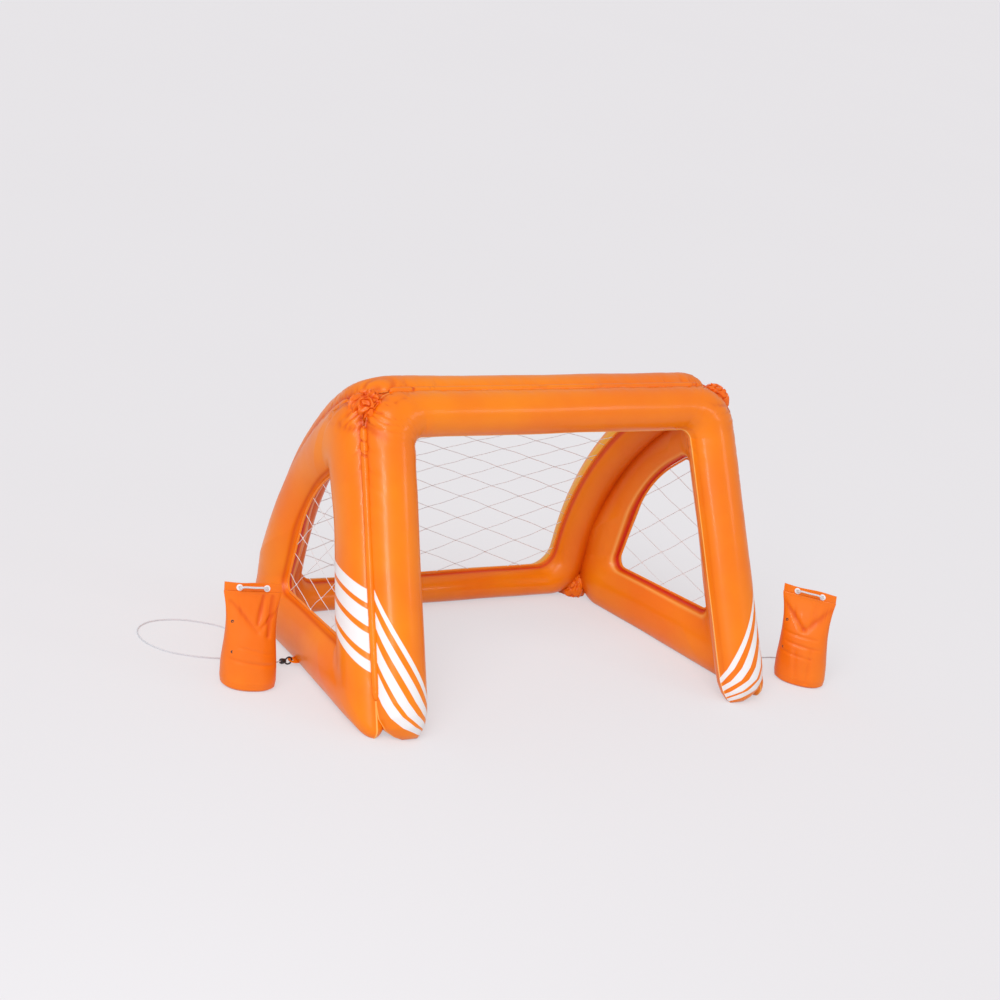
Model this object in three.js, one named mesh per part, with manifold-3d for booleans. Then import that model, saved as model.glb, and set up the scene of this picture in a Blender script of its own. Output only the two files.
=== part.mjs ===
// Inflatable water polo goal with a net on three sides and two ballast bags.
// Millimetres. +X is to the right of a player who looks into the goal, +Y goes back
// from the goal mouth, +Z is up. The origin is on the ground under the middle.
import * as THREE from 'three';
import { mergeVertices } from 'three/addons/utils/BufferGeometryUtils.js';
import Module from 'manifold-3d';

const wasm = await Module();
wasm.setup();

// Overall size
const goalWidth = 1400;
const goalDepth = 890;
const goalHeight = 810;

// Room between pieces that touch, and how far a cut runs past what it cuts
const seatGap = 0.3;
const overrun = 20;

// Weld lines, where the outer edges of two panels meet
const topWeldDrop = 8;
const topWeldY = -4;
const footSetback = 26;
const footInset = 40;
const rearSetback = 60;
const topTaper = 39;
const rearTaper = 100;

// Front arch: crossbar and posts
const postWidth = 150;
const crossbarWidth = 122;
const archThickness = 118;
const archOuterRadius = 118;
const archInnerRadius = 34;
const footLength = 95;
const footStationShares = [0, 0.1, 0.32, 0.64, 1];
const footWidthShares = [0.3, 0.52, 0.78, 0.95, 1];
const footThicknessShares = [0.2, 0.46, 0.76, 0.95, 1];
const footInwardShare = 0.72;

// Side frames
const sideThickness = 90;
const sideFrontWidth = 158;
const sideRailWidth = 126;
const sideBottomWidth = 168;
const sideTopRadius = 62;
const sideFootRadius = 24;
const sideRearRadius = 120;
const windowTopRadius = 22;
const windowFootRadius = 20;
const windowRearRadius = 34;
const windowRearDrop = 32;
const windowBendSetback = 42;
const windowBendDrop = 22;

// Back frame, and the bend that it shares with the side frames
const backThickness = 120;
const backTopThinness = 0.9;
const backTopWidth = 118;
const backRailWidth = 112;
const backBottomWidth = 88;
const backOuterRadius = 112;
const backInnerRadius = 58;
const bendRadius = 780;
const windowBendRadius = 330;
const bendSetback = 33;
const bendDrop = 286;

// The tubes press flat where they lie on the ground
const groundPress = 4;

// Nets
const netPitch = 92;
const strandWidth = 3.6;
const strandThickness = 3;
const hemWidth = 9;
const hemGap = 0.6;
const bandShift = 6.2;

// Seam beads and crumpled gussets
const beadRadius = 11;
const frontBeadFoot = 96;
const beadTopDrop = 78;
const rearBeadFoot = 96;
const topBeadInset = 84;
const topGussetRadii = [60, 54, 56];
const topGussetInset = 34;
const topGussetY = 6;
const topGussetDrop = 50;
const rearGussetRadii = [46, 52, 58];
const rearGussetInset = 26;
const rearGussetSetback = 26;
const rearGussetHeight = 24;
const gussetPleats = 9;
const gussetPleatShare = 0.08;

// Inflation valves: a seat with a bore, and a stopper on a strap
const valveFlangeRadius = 19;
const valveFlangeHeight = 1.6;
const valveNeckRadius = 7.5;
const valveNeckHeight = 7;
const valveBoreRadius = 4.4;
const valveBoreDepth = 6;
const valveSeatDepth = 9;
const stopperCapRadius = 8.5;
const stopperCapHeight = 2.6;
const stopperPlugLength = 2.4;
const stopperPlugRadius = 3.3;
const stopperStrapWidth = 6;
const stopperStrapThickness = 1.6;
const stopperStrapLength = 14.5;
const stopperRootLength = 4;
const probeRadius = 2;
const archValveInset = 115;
const archValveHeight = 500;
const sideValveHeight = 300;
const sideValveInset = 104;
const backValveX = 0;

// Ballast bags
const bagHeight = 260;
const bagBaseWidth = 150;
const bagBaseDepth = 112;
const bagTopWidth = 158;
const bagTopDepth = 8;
const bagLevelShares = [0, 0.025, 0.09, 0.25, 0.42, 0.58, 0.72, 0.85, 0.94, 1];
const bagWidthShares = [0.86, 0.97, 1, 0.98, 0.92, 0.88, 0.88, 0.92, 0.97, 1];
const bagPinchShares = [0, 0, 0, 0.04, 0.14, 0.34, 0.58, 0.82, 0.96, 1];
const bagDepthShares = [0.82, 0.96, 1, 1, 1, 1, 1, 1, 1, 1];
const bagSides = 16;
const bagLean = 28;
const bagLeanTurn = 140;
const bagFoldHeight = 22;
const bagFoldThickness = 3.4;
const leftBagPlace = [-830, -36];
const leftBagTurn = -14;
const rightBagPlace = [874, -334];
const rightBagTurn = -46;
const eyeletRadius = 9;
const eyeletHeight = 2.6;
const eyeletHoleRadius = 3.1;
const eyeletSpacing = 74;
const eyeletDrop = 8;
const handleDiameter = 5.4;
const handleReach = 9;
const handleRise = 5;
const handleSteps = 10;
const studRadius = 4.2;
const studHeight = 2.4;
const studLevels = [104, 182];
const studInset = 20;
const fillerLevel = 134;

// Tie tabs, cord clips and tether cords
const tabWidth = 34;
const tabReach = 46;
const tabThickness = 3;
const tabHoleRadius = 5;
const tabHoleInset = 10;
const tabHeight = 13;
const tabY = 50;
const tabRootReach = 5;
const bagTieReach = 40;
const leftTieHeading = 60;
const rightTieHeading = 75;
const fillerTilt = 0.22;
const clipRingRadius = 10;
const clipWireRadius = 2.2;
const clipBarrelRadius = 7;
const clipBarrelLength = 16;
const clipHoleDepth = 9;
const clipHoleRoom = 1.3;
const tetherDiameter = 4;
const tetherSides = 8;
const tetherSteps = 56;

// How finely the curved forms are stepped
const sectionSides = 12;
const cornerSteps = 6;
const bendSteps = 5;
const sideSteps = 3;
const bendMargin = 0.02;
const filletRoomShare = 0.97;
const smallSides = 10;
const beadSides = 8;
const beadSteps = 9;
const gussetSides = 18;
const gussetLevels = 8;

// Worked out from the values above
const topWeldZ = goalHeight - topWeldDrop;
const footY = -goalDepth / 2 + footSetback;
const rearY = goalDepth / 2 - rearSetback;
const footX = goalWidth / 2 - footInset;
const topX = footX - topTaper;
const rearX = footX - rearTaper;
const bendY = rearY - bendSetback;
const bendZ = topWeldZ - bendDrop;

// Materials
const colours = {
  vinyl: [0xf98a1c, 0.35], vinylDark: [0xe0611c, 0.45], net: [0xeeeeee, 0.7],
  cord: [0xd9d9d6, 0.75], white: [0xf2f2f0, 0.4], black: [0x151515, 0.5],
  clear: [0xf0b070, 0.3],
};
const materials = {};
for (const [name, [color, roughness]] of Object.entries(colours)) {
  materials[name] = new THREE.MeshStandardMaterial({ color, roughness, metalness: 0 });
}

const goal = new THREE.Group();
goal.name = 'water_polo_goal';

function addPiece(name, geometry, material) {
  const mesh = new THREE.Mesh(geometry, materials[material]);
  mesh.name = name;
  goal.add(mesh);
}

// Solids

function signedVolume(geometry) {
  const points = geometry.attributes.position;
  const corners = geometry.index;
  const a = new THREE.Vector3();
  const b = new THREE.Vector3();
  const c = new THREE.Vector3();
  let sum = 0;
  for (let i = 0; i < corners.count; i += 3) {
    a.fromBufferAttribute(points, corners.getX(i));
    b.fromBufferAttribute(points, corners.getX(i + 1));
    c.fromBufferAttribute(points, corners.getX(i + 2));
    sum += a.dot(b.cross(c));
  }
  return sum;
}

function toSolid(geometry) {
  const bare = geometry.clone();
  for (const name of Object.keys(bare.attributes)) {
    if (name !== 'position') bare.deleteAttribute(name);
  }
  const merged = mergeVertices(bare);
  const all = merged.index.array;
  const kept = [];
  for (let i = 0; i < all.length; i += 3) {
    const [a, b, c] = all.slice(i, i + 3);
    if (a !== b && b !== c && c !== a) kept.push(a, b, c);
  }
  const triangles = Uint32Array.from(kept);
  if (signedVolume(merged) < 0) {
    for (let i = 0; i < triangles.length; i += 3) {
      [triangles[i], triangles[i + 1]] = [triangles[i + 1], triangles[i]];
    }
  }
  return new wasm.Manifold(new wasm.Mesh({
    numProp: 3,
    vertProperties: Float32Array.from(merged.attributes.position.array),
    triVerts: triangles,
  }));
}

function toGeometry(solid) {
  const mesh = solid.getMesh();
  const geometry = new THREE.BufferGeometry();
  geometry.setAttribute('position', new THREE.BufferAttribute(mesh.vertProperties, 3));
  geometry.setIndex(new THREE.BufferAttribute(mesh.triVerts, 1));
  geometry.computeVertexNormals();
  return geometry;
}

// A cut can leave crumbs in a crease; the piece is what is left in one main part.
function mainPart(solid) {
  const parts = solid.decompose();
  return parts.reduce((best, part) => (part.volume() > best.volume() ? part : best));
}

function cutBy(solid, ...cutters) {
  return mainPart(cutters.reduce((left, cutter) => left.subtract(cutter), solid));
}

function block(sizeX, sizeY, sizeZ, x, y, z) {
  return toSolid(new THREE.BoxGeometry(sizeX, sizeY, sizeZ).translate(x, y, z));
}

const ground = block(
  goalWidth * 2, goalDepth * 2, goalHeight, 0, 0, -goalHeight / 2,
);

// Outlines: polygons with rounded corners, in the flat coordinates of a panel

function inset(corners, widths) {
  const lines = corners.map((from, i) => {
    const to = corners[(i + 1) % corners.length];
    const along = to.clone().sub(from).normalize();
    const inward = new THREE.Vector2(-along.y, along.x);
    return { at: from.clone().addScaledVector(inward, widths[i]), along };
  });
  return lines.map((line, i) => {
    const before = lines[(i + lines.length - 1) % lines.length];
    const apart = line.at.clone().sub(before.at);
    const distance = apart.cross(line.along) / before.along.cross(line.along);
    return before.at.clone().addScaledVector(before.along, distance);
  });
}

function roundCorner(before, corner, after, radius, steps) {
  const back = before.clone().sub(corner).normalize();
  const on = after.clone().sub(corner).normalize();
  const half = Math.acos(THREE.MathUtils.clamp(back.dot(on), -1, 1)) / 2;
  const run = radius / Math.tan(half);
  const middle = back.clone().add(on).normalize();
  const centre = corner.clone().addScaledVector(middle, radius / Math.sin(half));
  const start = corner.clone().addScaledVector(back, run).sub(centre);
  const turn = Math.sign(-back.cross(on)) * (Math.PI - 2 * half);
  const points = [];
  for (let i = 0; i <= steps; i += 1) {
    const spin = new THREE.Vector2();
    points.push(start.clone().rotateAround(spin, (turn * i) / steps).add(centre));
  }
  return points;
}

function evenly(from, to) {
  const points = [];
  for (let k = 1; k < sideSteps; k += 1) points.push(from.clone().lerp(to, k / sideSteps));
  return points;
}

// Two fillets that meet on a short edge are both made smaller, until they fit on it.
function fitted(corners, radii) {
  const count = corners.length;
  const runs = corners.map((corner, i) => {
    const back = corners[(i + count - 1) % count].clone().sub(corner).normalize();
    const on = corners[(i + 1) % count].clone().sub(corner).normalize();
    return radii[i] / Math.tan(Math.acos(THREE.MathUtils.clamp(back.dot(on), -1, 1)) / 2);
  });
  const room = corners.map((corner, i) => {
    const next = (i + 1) % count;
    const edge = corner.distanceTo(corners[next]) * filletRoomShare;
    return Math.min(1, edge / (runs[i] + runs[next]));
  });
  return radii.map((radius, i) => radius * Math.min(room[i], room[(i + count - 1) % count]));
}

function roundedOutline(corners, radii, steps, between = evenly) {
  const fits = fitted(corners, radii);
  const arcs = corners.map((corner, i) => roundCorner(
    corners[(i + corners.length - 1) % corners.length], corner,
    corners[(i + 1) % corners.length], fits[i], steps[i],
  ));
  const points = [];
  arcs.forEach((arc, i) => {
    points.push(...arc);
    const from = arc[arc.length - 1];
    const to = arcs[(i + 1) % arcs.length][0];
    points.push(...between(from, to));
  });
  return points;
}

// Panel surfaces: flat coordinates to a place on the panel's middle surface, and its normal

const archLean = (topWeldY - footY) / topWeldZ;
const archSlope = Math.hypot(1, archLean);
const archNormal = new THREE.Vector3(0, -1, archLean).normalize();
const archSurface = {
  place: (p) => new THREE.Vector3(p.x, footY + (archLean * p.y) / archSlope, p.y / archSlope),
  normal: () => archNormal,
};

const sideTurn = (footX - rearX) / (rearY - footY);
const sideTilt = (footX - topX - sideTurn * (topWeldY - footY)) / topWeldZ;
const seamX = (y, z) => footX - sideTurn * (y - footY) - sideTilt * z;
function sideSurface(sign) {
  const normal = new THREE.Vector3(sign, sideTurn, sideTilt).normalize();
  return {
    place: (p) => new THREE.Vector3(sign * seamX(p.x, p.y), p.x, p.y),
    normal: () => normal,
  };
}

// The back panel bends from the top weld to the ground; (y, z) points of its profile
const profileTop = new THREE.Vector2(topWeldY, topWeldZ);
const profileBend = new THREE.Vector2(bendY, bendZ);
const profileFoot = new THREE.Vector2(rearY, -groundPress);
const profile = new THREE.CurvePath();
{
  const points = [
    profileTop,
    ...roundCorner(profileTop, profileBend, profileFoot, bendRadius, bendSteps),
    profileFoot,
  ];
  for (let i = 1; i < points.length; i += 1) {
    profile.add(new THREE.LineCurve(points[i - 1], points[i]));
  }
}
const profileLength = profile.getLength();
const backWidthAt = (v) => {
  const share = THREE.MathUtils.clamp(v / profileLength, 0, 1);
  return THREE.MathUtils.lerp(topX, seamX(rearY, 0), share);
};
const backSurface = {
  place: (p) => {
    const share = THREE.MathUtils.clamp(p.y / profileLength, 0, 1);
    const at = profile.getPoint(share);
    const stretch = seamX(at.x, at.y) / backWidthAt(p.y);
    return new THREE.Vector3(p.x * stretch, at.x, at.y);
  },
  normal: (p) => {
    const reach = overrun / profileLength;
    const share = THREE.MathUtils.clamp(p.y / profileLength, reach, 1 - reach);
    const ahead = profile.getPoint(share + reach);
    const behind = profile.getPoint(share - reach);
    const along = ahead.sub(behind).normalize();
    return new THREE.Vector3(0, -along.y, along.x);
  },
};

// Inflated tubes: an oval section between each pair of outline points

function ovalRings(surface, stations, grow) {
  return stations.map(({ outer, inner, thickness }) => {
    const middle = outer.clone().add(inner).multiplyScalar(0.5);
    const across = outer.clone().sub(inner);
    const halfWidth = across.length() / 2 + grow;
    across.normalize();
    const normal = surface.normal(middle);
    const ring = [];
    for (let j = 0; j < sectionSides; j += 1) {
      const angle = (2 * Math.PI * j) / sectionSides;
      const flat = middle.clone().addScaledVector(across, halfWidth * Math.cos(angle));
      const lift = (thickness / 2 + grow) * Math.sin(angle);
      ring.push(surface.place(flat).addScaledVector(normal, lift));
    }
    return ring;
  });
}

function loft(rings, closed) {
  const sides = rings[0].length;
  const points = rings.flat();
  const index = [];
  const spans = closed ? rings.length : rings.length - 1;
  for (let i = 0; i < spans; i += 1) {
    const a = i * sides;
    const b = ((i + 1) % rings.length) * sides;
    for (let j = 0; j < sides; j += 1) {
      const k = (j + 1) % sides;
      index.push(a + j, b + j, b + k, a + j, b + k, a + k);
    }
  }
  if (!closed) {
    const last = (rings.length - 1) * sides;
    for (const [start, flip] of [[0, false], [last, true]]) {
      const middle = points.length;
      const ring = points.slice(start, start + sides);
      points.push(ring.reduce((sum, p) => sum.add(p), new THREE.Vector3()).divideScalar(sides));
      for (let j = 0; j < sides; j += 1) {
        const k = (j + 1) % sides;
        if (flip) index.push(middle, start + k, start + j);
        else index.push(middle, start + j, start + k);
      }
    }
  }
  const geometry = new THREE.BufferGeometry().setFromPoints(points);
  geometry.setIndex(index);
  return geometry;
}

// A wide stretch of panel swells more than a narrow one.
function swell(thickness, width, standardWidth) {
  return thickness * Math.min(1.22, Math.max(0.9, Math.sqrt(width / standardWidth)));
}

function inflatedRing(surface, outer, inner, thickness, width, grow, share = () => 1) {
  const stations = outer.map((point, i) => ({
    outer: point,
    inner: inner[i],
    thickness: share(point) * swell(thickness, point.distanceTo(inner[i]), width),
  }));
  return toSolid(loft(ovalRings(surface, stations, grow), true));
}

// Front arch

const archTop = topWeldZ * archSlope;
function archStations() {
  const edgeX = (s) => THREE.MathUtils.lerp(footX, topX, s / archTop);
  const outerTop = new THREE.Vector2(edgeX(archTop), archTop);
  const innerTop = new THREE.Vector2(
    edgeX(archTop - crossbarWidth) - postWidth, archTop - crossbarWidth,
  );
  const middleTop = new THREE.Vector2(0, archTop);
  const middleInner = new THREE.Vector2(0, archTop - crossbarWidth);
  const foot = new THREE.Vector2(footX, 0);
  const footInner = new THREE.Vector2(footX - postWidth, 0);
  const outerArc = roundCorner(foot, outerTop, middleTop, archOuterRadius, cornerSteps);
  const innerArc = roundCorner(footInner, innerTop, middleInner, archInnerRadius, cornerSteps);
  const right = [];
  footStationShares.forEach((share, i) => {
    const s = share * footLength;
    const outer = new THREE.Vector2(edgeX(s), s);
    const inner = new THREE.Vector2(edgeX(s) - postWidth, s);
    const lost = postWidth * (1 - footWidthShares[i]);
    outer.x -= lost * footInwardShare;
    inner.x += lost * (1 - footInwardShare);
    right.push({ outer, inner, thickness: archThickness * footThicknessShares[i] });
  });
  const between = (a, b, steps) => {
    for (let k = 1; k < steps; k += 1) {
      right.push({
        outer: a.outer.clone().lerp(b.outer, k / steps),
        inner: a.inner.clone().lerp(b.inner, k / steps),
        thickness: archThickness,
      });
    }
  };
  between(right[right.length - 1], { outer: outerArc[0], inner: innerArc[0] }, sideSteps);
  outerArc.forEach((outer, i) => {
    const inner = innerArc[i];
    right.push({ outer, inner, thickness: swell(archThickness, outer.distanceTo(inner), postWidth) });
  });
  between(right[right.length - 1], { outer: middleTop, inner: middleInner }, sideSteps);
  const mirror = (p) => new THREE.Vector2(-p.x, p.y);
  const left = right.map(({ outer, inner, thickness }) => (
    { outer: mirror(outer), inner: mirror(inner), thickness }
  ));
  const middle = { outer: middleTop, inner: middleInner, thickness: archThickness };
  return [...right, middle, ...left.reverse()];
}
const archSolid = (grow) => toSolid(loft(ovalRings(archSurface, archStations(), grow), false));
const arch = archSolid(0).subtract(ground);
const archRoom = archSolid(seatGap);
addPiece('front_arch', toGeometry(arch), 'vinyl');

// Side frames: rings with a three-cornered window, in (y, z)

const sideCorners = [
  new THREE.Vector2(footY, -groundPress), profileFoot, profileBend, profileTop,
];
const sideWidths = [sideBottomWidth, sideRailWidth, sideRailWidth, sideFrontWidth];
// The window's rear edge is straighter than the rail's back, and its sill drops to the rear.
const windowGuide = [
  sideCorners[0], profileFoot.clone().setY(-groundPress - windowRearDrop),
  new THREE.Vector2(bendY - windowBendSetback, bendZ - windowBendDrop), profileTop,
];
const windowCorners = inset(windowGuide, sideWidths);
const sideRingSteps = [cornerSteps, cornerSteps, bendSteps, cornerSteps];
const sideOuter = roundedOutline(
  sideCorners, [sideFootRadius, sideRearRadius, bendRadius, sideTopRadius], sideRingSteps,
);
const windowRadii = [
  windowFootRadius, windowRearRadius, windowBendRadius, windowTopRadius,
];
const sideInner = roundedOutline(windowCorners, windowRadii, sideRingSteps);
const sideRing = (sign, grow) => inflatedRing(
  sideSurface(sign), sideOuter, sideInner, sideThickness, sideFrontWidth, grow,
);

// Back frame: a ring with a four-cornered window, in (x, v) with v down the profile

const backCorners = [
  new THREE.Vector2(-topX, 0), new THREE.Vector2(topX, 0),
  new THREE.Vector2(backWidthAt(profileLength), profileLength),
  new THREE.Vector2(-backWidthAt(profileLength), profileLength),
];
const backWidths = [backTopWidth, backRailWidth, backBottomWidth, backRailWidth];
const backWindow = inset(backCorners, backWidths);
const backRadii = backCorners.map(() => backOuterRadius);
const backWindowRadii = backCorners.map(() => backInnerRadius);
const backSteps = backCorners.map(() => cornerSteps);
const backLevels = profile.getCurveLengths().slice(0, -1);
// A rail gets its stations where the profile bends.
function atBends(from, to) {
  const shares = backLevels.map((level) => (level - from.y) / (to.y - from.y));
  const within = shares.filter((share) => share > bendMargin && share < 1 - bendMargin);
  if (within.length === 0) return evenly(from, to);
  return within.sort((a, b) => a - b).map((share) => from.clone().lerp(to, share));
}
const backOuter = roundedOutline(backCorners, backRadii, backSteps, atBends);
const backInner = roundedOutline(backWindow, backWindowRadii, backSteps, atBends);
const topBarShare = (p) => THREE.MathUtils.lerp(
  backTopThinness, 1, THREE.MathUtils.smoothstep(p.y, 0, backTopWidth * 2),
);
const backRing = (grow) => inflatedRing(
  backSurface, backOuter, backInner, backThickness, backRailWidth, grow, topBarShare,
);

const sideRooms = [-1, 1].map((sign) => sideRing(sign, seatGap));
const backRoom = backRing(seatGap);
const sideNames = { '-1': 'left', 1: 'right' };
const sides = {};
for (const sign of [-1, 1]) {
  sides[sign] = cutBy(sideRing(sign, 0), archRoom, ground);
  addPiece(`${sideNames[sign]}_side_frame`, toGeometry(sides[sign]), 'vinyl');
}
const back = cutBy(backRing(0), archRoom, ...sideRooms, ground);
addPiece('back_frame', toGeometry(back), 'vinyl');

// Nets: diagonal strands inside a hem that follows the window

function plate(outline, thickness) {
  const geometry = new THREE.ExtrudeGeometry(
    new THREE.Shape(outline), { depth: thickness, bevelEnabled: false },
  );
  return toSolid(geometry.translate(0, 0, -thickness / 2));
}

// Where one band has a corner in the middle of its neighbour's edge, the neighbour's
// triangle is split there, so that the bands share all their corners.
function sewn(geometry) {
  const points = [];
  const source = geometry.attributes.position;
  for (let i = 0; i < source.count; i += 1) {
    points.push(new THREE.Vector3().fromBufferAttribute(source, i));
  }
  const triangles = [];
  for (let i = 0; i < geometry.index.count; i += 3) {
    const corners = [0, 1, 2].map((k) => geometry.index.getX(i + k));
    if (new Set(corners).size === 3) triangles.push(corners);
  }
  const split = () => {
    const edges = new Map();
    triangles.forEach((corners, n) => corners.forEach((a, k) => {
      edges.set(`${a} ${corners[(k + 1) % 3]}`, [a, corners[(k + 1) % 3], corners[(k + 2) % 3], n]);
    }));
    const open = [...edges.values()].filter(([a, b]) => !edges.has(`${b} ${a}`));
    const ends = new Set(open.flatMap(([a, b]) => [a, b]));
    for (const [a, b, c, n] of open) {
      const line = new THREE.Line3(points[a], points[b]);
      for (const end of ends) {
        const near = line.closestPointToPoint(points[end], true, new THREE.Vector3());
        const onLine = near.distanceTo(points[end]) < seatGap / 100;
        if (end !== a && end !== b && onLine) {
          triangles[n] = [a, end, c];
          triangles.push([end, b, c]);
          return true;
        }
      }
    }
    return false;
  };
  while (split()) { /* until no corner is left on an open edge */ }
  const result = new THREE.BufferGeometry().setFromPoints(points);
  result.setIndex(triangles.flat());
  return result;
}

// A flat net is cut into bands at the bends of its surface, so that no triangle spans a
// bend; the cut faces are left out, and the bands share their corners there again.
function banded(flat, levels) {
  if (levels.length === 0) return toGeometry(flat);
  const bounds = flat.boundingBox();
  const edges = [bounds.min[1] - overrun, ...levels, bounds.max[1] + overrun];
  const points = [];
  for (let i = 1; i < edges.length; i += 1) {
    const [low, high] = [edges[i - 1], edges[i]];
    const band = flat.intersect(block(
      goalWidth * 2, high - low, strandThickness * 2, 0, (low + high) / 2, 0,
    ));
    const source = toGeometry(band).toNonIndexed().attributes.position;
    const onEdge = (k, edge) => Math.abs(source.getY(k) - edge) < seatGap / 30;
    for (let k = 0; k < source.count; k += 3) {
      const corners = [k, k + 1, k + 2];
      if (!corners.every((c) => onEdge(c, low)) && !corners.every((c) => onEdge(c, high))) {
        for (const c of corners) {
          const p = new THREE.Vector3().fromBufferAttribute(source, c);
          if (onEdge(c, low)) p.setY(low);
          if (onEdge(c, high)) p.setY(high);
          points.push(p);
        }
      }
    }
  }
  const loose = new THREE.BufferGeometry().setFromPoints(points);
  return sewn(mergeVertices(loose, seatGap / 100));
}

function net(surface, windowPolygon, radii, steps, between, levels) {
  const outline = (reach) => roundedOutline(
    inset(windowPolygon, windowPolygon.map(() => reach)),
    radii.map((radius) => radius - reach), steps, between,
  );
  const outer = plate(outline(hemGap), strandThickness);
  const inner = plate(outline(hemGap + hemWidth), strandThickness + overrun);
  const hemMiddle = plate(outline(hemGap + hemWidth / 2), strandThickness + overrun);
  const bounds = new THREE.Box2().setFromPoints(windowPolygon);
  const centre = bounds.getCenter(new THREE.Vector2());
  const reach = bounds.getSize(new THREE.Vector2()).length();
  const count = Math.ceil(reach / netPitch);
  const strands = [];
  for (const direction of [-1, 1]) {
    for (let i = 0; i < count; i += 1) {
      const strand = new THREE.BoxGeometry(reach * 2, strandWidth, strandThickness);
      strand.translate(0, (i - (count - 1) / 2) * netPitch, 0);
      strand.rotateZ((direction * Math.PI) / 4);
      strands.push(toSolid(strand.translate(centre.x, centre.y, 0)));
    }
  }
  const lattice = wasm.Manifold.union(strands).intersect(hemMiddle);
  const flat = banded(mainPart(lattice.add(outer.subtract(inner))), levels);
  const points = flat.attributes.position;
  for (let i = 0; i < points.count; i += 1) {
    const p = new THREE.Vector2(points.getX(i), points.getY(i));
    const lifted = surface.place(p).addScaledVector(surface.normal(p), points.getZ(i));
    points.setXYZ(i, lifted.x, lifted.y, lifted.z);
  }
  return toGeometry(toSolid(flat));
}

for (const sign of [-1, 1]) {
  const geometry = net(
    sideSurface(sign), windowCorners, windowRadii, sideRingSteps, evenly, [],
  );
  addPiece(`${sideNames[sign]}_net`, geometry, 'net');
}
addPiece('back_net', net(
  backSurface, backWindow, backWindowRadii, backSteps, atBends,
  backLevels.map((level) => level + bandShift),
), 'net');

// Gussets: pleated pillows of loose vinyl that fill the corners between three panels

function gusset(radii, centre, grow) {
  const ball = new THREE.SphereGeometry(1, gussetSides, gussetLevels);
  const points = ball.attributes.position;
  for (let i = 0; i < points.count; i += 1) {
    const p = new THREE.Vector3().fromBufferAttribute(points, i);
    const turn = Math.atan2(p.y, p.x);
    const wave = Math.cos(turn * gussetPleats) * Math.cos((p.z * Math.PI) / 2);
    const reach = 1 + gussetPleatShare * wave;
    p.set(p.x * (radii[0] * reach + grow), p.y * (radii[1] * reach + grow), p.z * (radii[2] + grow));
    p.add(centre);
    points.setXYZ(i, p.x, p.y, p.z);
  }
  return toSolid(ball);
}

const topGussetAt = (sign) => new THREE.Vector3(
  sign * (topX - topGussetInset), topWeldY + topGussetY, topWeldZ - topGussetDrop,
);
const rearGussetAt = (sign) => new THREE.Vector3(
  sign * (rearX - rearGussetInset), rearY - rearGussetSetback, rearGussetHeight,
);
const topGussetRooms = [];
const rearGussetRooms = [];
for (const sign of [-1, 1]) {
  const side = sideNames[sign];
  const sideRoom = sideRooms[sign < 0 ? 0 : 1];
  const top = gusset(topGussetRadii, topGussetAt(sign), 0);
  topGussetRooms.push(gusset(topGussetRadii, topGussetAt(sign), seatGap));
  addPiece(`${side}_top_gusset`, toGeometry(cutBy(top, archRoom, sideRoom, backRoom)), 'vinylDark');
  const rear = gusset(rearGussetRadii, rearGussetAt(sign), 0);
  rearGussetRooms.push(gusset(rearGussetRadii, rearGussetAt(sign), seatGap));
  addPiece(
    `${side}_rear_gusset`, toGeometry(cutBy(rear, sideRoom, backRoom, ground)), 'vinylDark',
  );
}

// Weld beads along the lines where two panels meet

function tube(points, radius, sides, steps) {
  const path = points.length > 2
    ? new THREE.CatmullRomCurve3(points, false, 'centripetal')
    : new THREE.LineCurve3(...points);
  const section = new THREE.Shape().absarc(0, 0, radius, 0, 2 * Math.PI);
  return new THREE.ExtrudeGeometry(section, {
    steps, curveSegments: sides / 2, bevelEnabled: false, extrudePath: path,
  });
}

const seamPoint = (sign, y, z) => new THREE.Vector3(sign * seamX(y, z), y, z);
const frontSeam = (sign, z) => seamPoint(
  sign, THREE.MathUtils.lerp(footY, topWeldY, z / topWeldZ), z,
);
for (const sign of [-1, 1]) {
  const side = sideNames[sign];
  const k = sign < 0 ? 0 : 1;
  const bottom = frontSeam(sign, frontBeadFoot);
  const top = frontSeam(sign, topWeldZ - beadTopDrop);
  const front = cutBy(
    toSolid(tube([bottom, top], beadRadius, beadSides, sideSteps)),
    archRoom, sideRooms[k], topGussetRooms[k],
  );
  addPiece(`${side}_front_weld`, toGeometry(front), 'vinyl');
  const rearPoints = [];
  for (let i = 0; i <= beadSteps; i += 1) {
    const v = THREE.MathUtils.lerp(beadTopDrop, profileLength - rearBeadFoot, i / beadSteps);
    const at = profile.getPoint(v / profileLength);
    rearPoints.push(seamPoint(sign, at.x, at.y));
  }
  const rear = cutBy(
    toSolid(tube(rearPoints, beadRadius, beadSides, beadSteps)),
    sideRooms[k], backRoom, topGussetRooms[k], rearGussetRooms[k],
  );
  addPiece(`${side}_rear_weld`, toGeometry(rear), 'vinyl');
}
const topSeamEnd = new THREE.Vector3(topX - topBeadInset, topWeldY, topWeldZ);
const topSeamStart = topSeamEnd.clone().setX(-topSeamEnd.x);
const topBead = cutBy(
  toSolid(tube([topSeamStart, topSeamEnd], beadRadius, beadSides, 1)),
  archRoom, backRoom, ...topGussetRooms,
);
addPiece('top_weld', toGeometry(topBead), 'vinyl');

// Valves: modelled upright at the origin, then set on a panel along its normal

function round(radius, low, high, x = 0) {
  const geometry = new THREE.CylinderGeometry(radius, radius, high - low, smallSides);
  geometry.rotateX(Math.PI / 2).translate(x, 0, (low + high) / 2);
  return toSolid(geometry);
}

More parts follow.
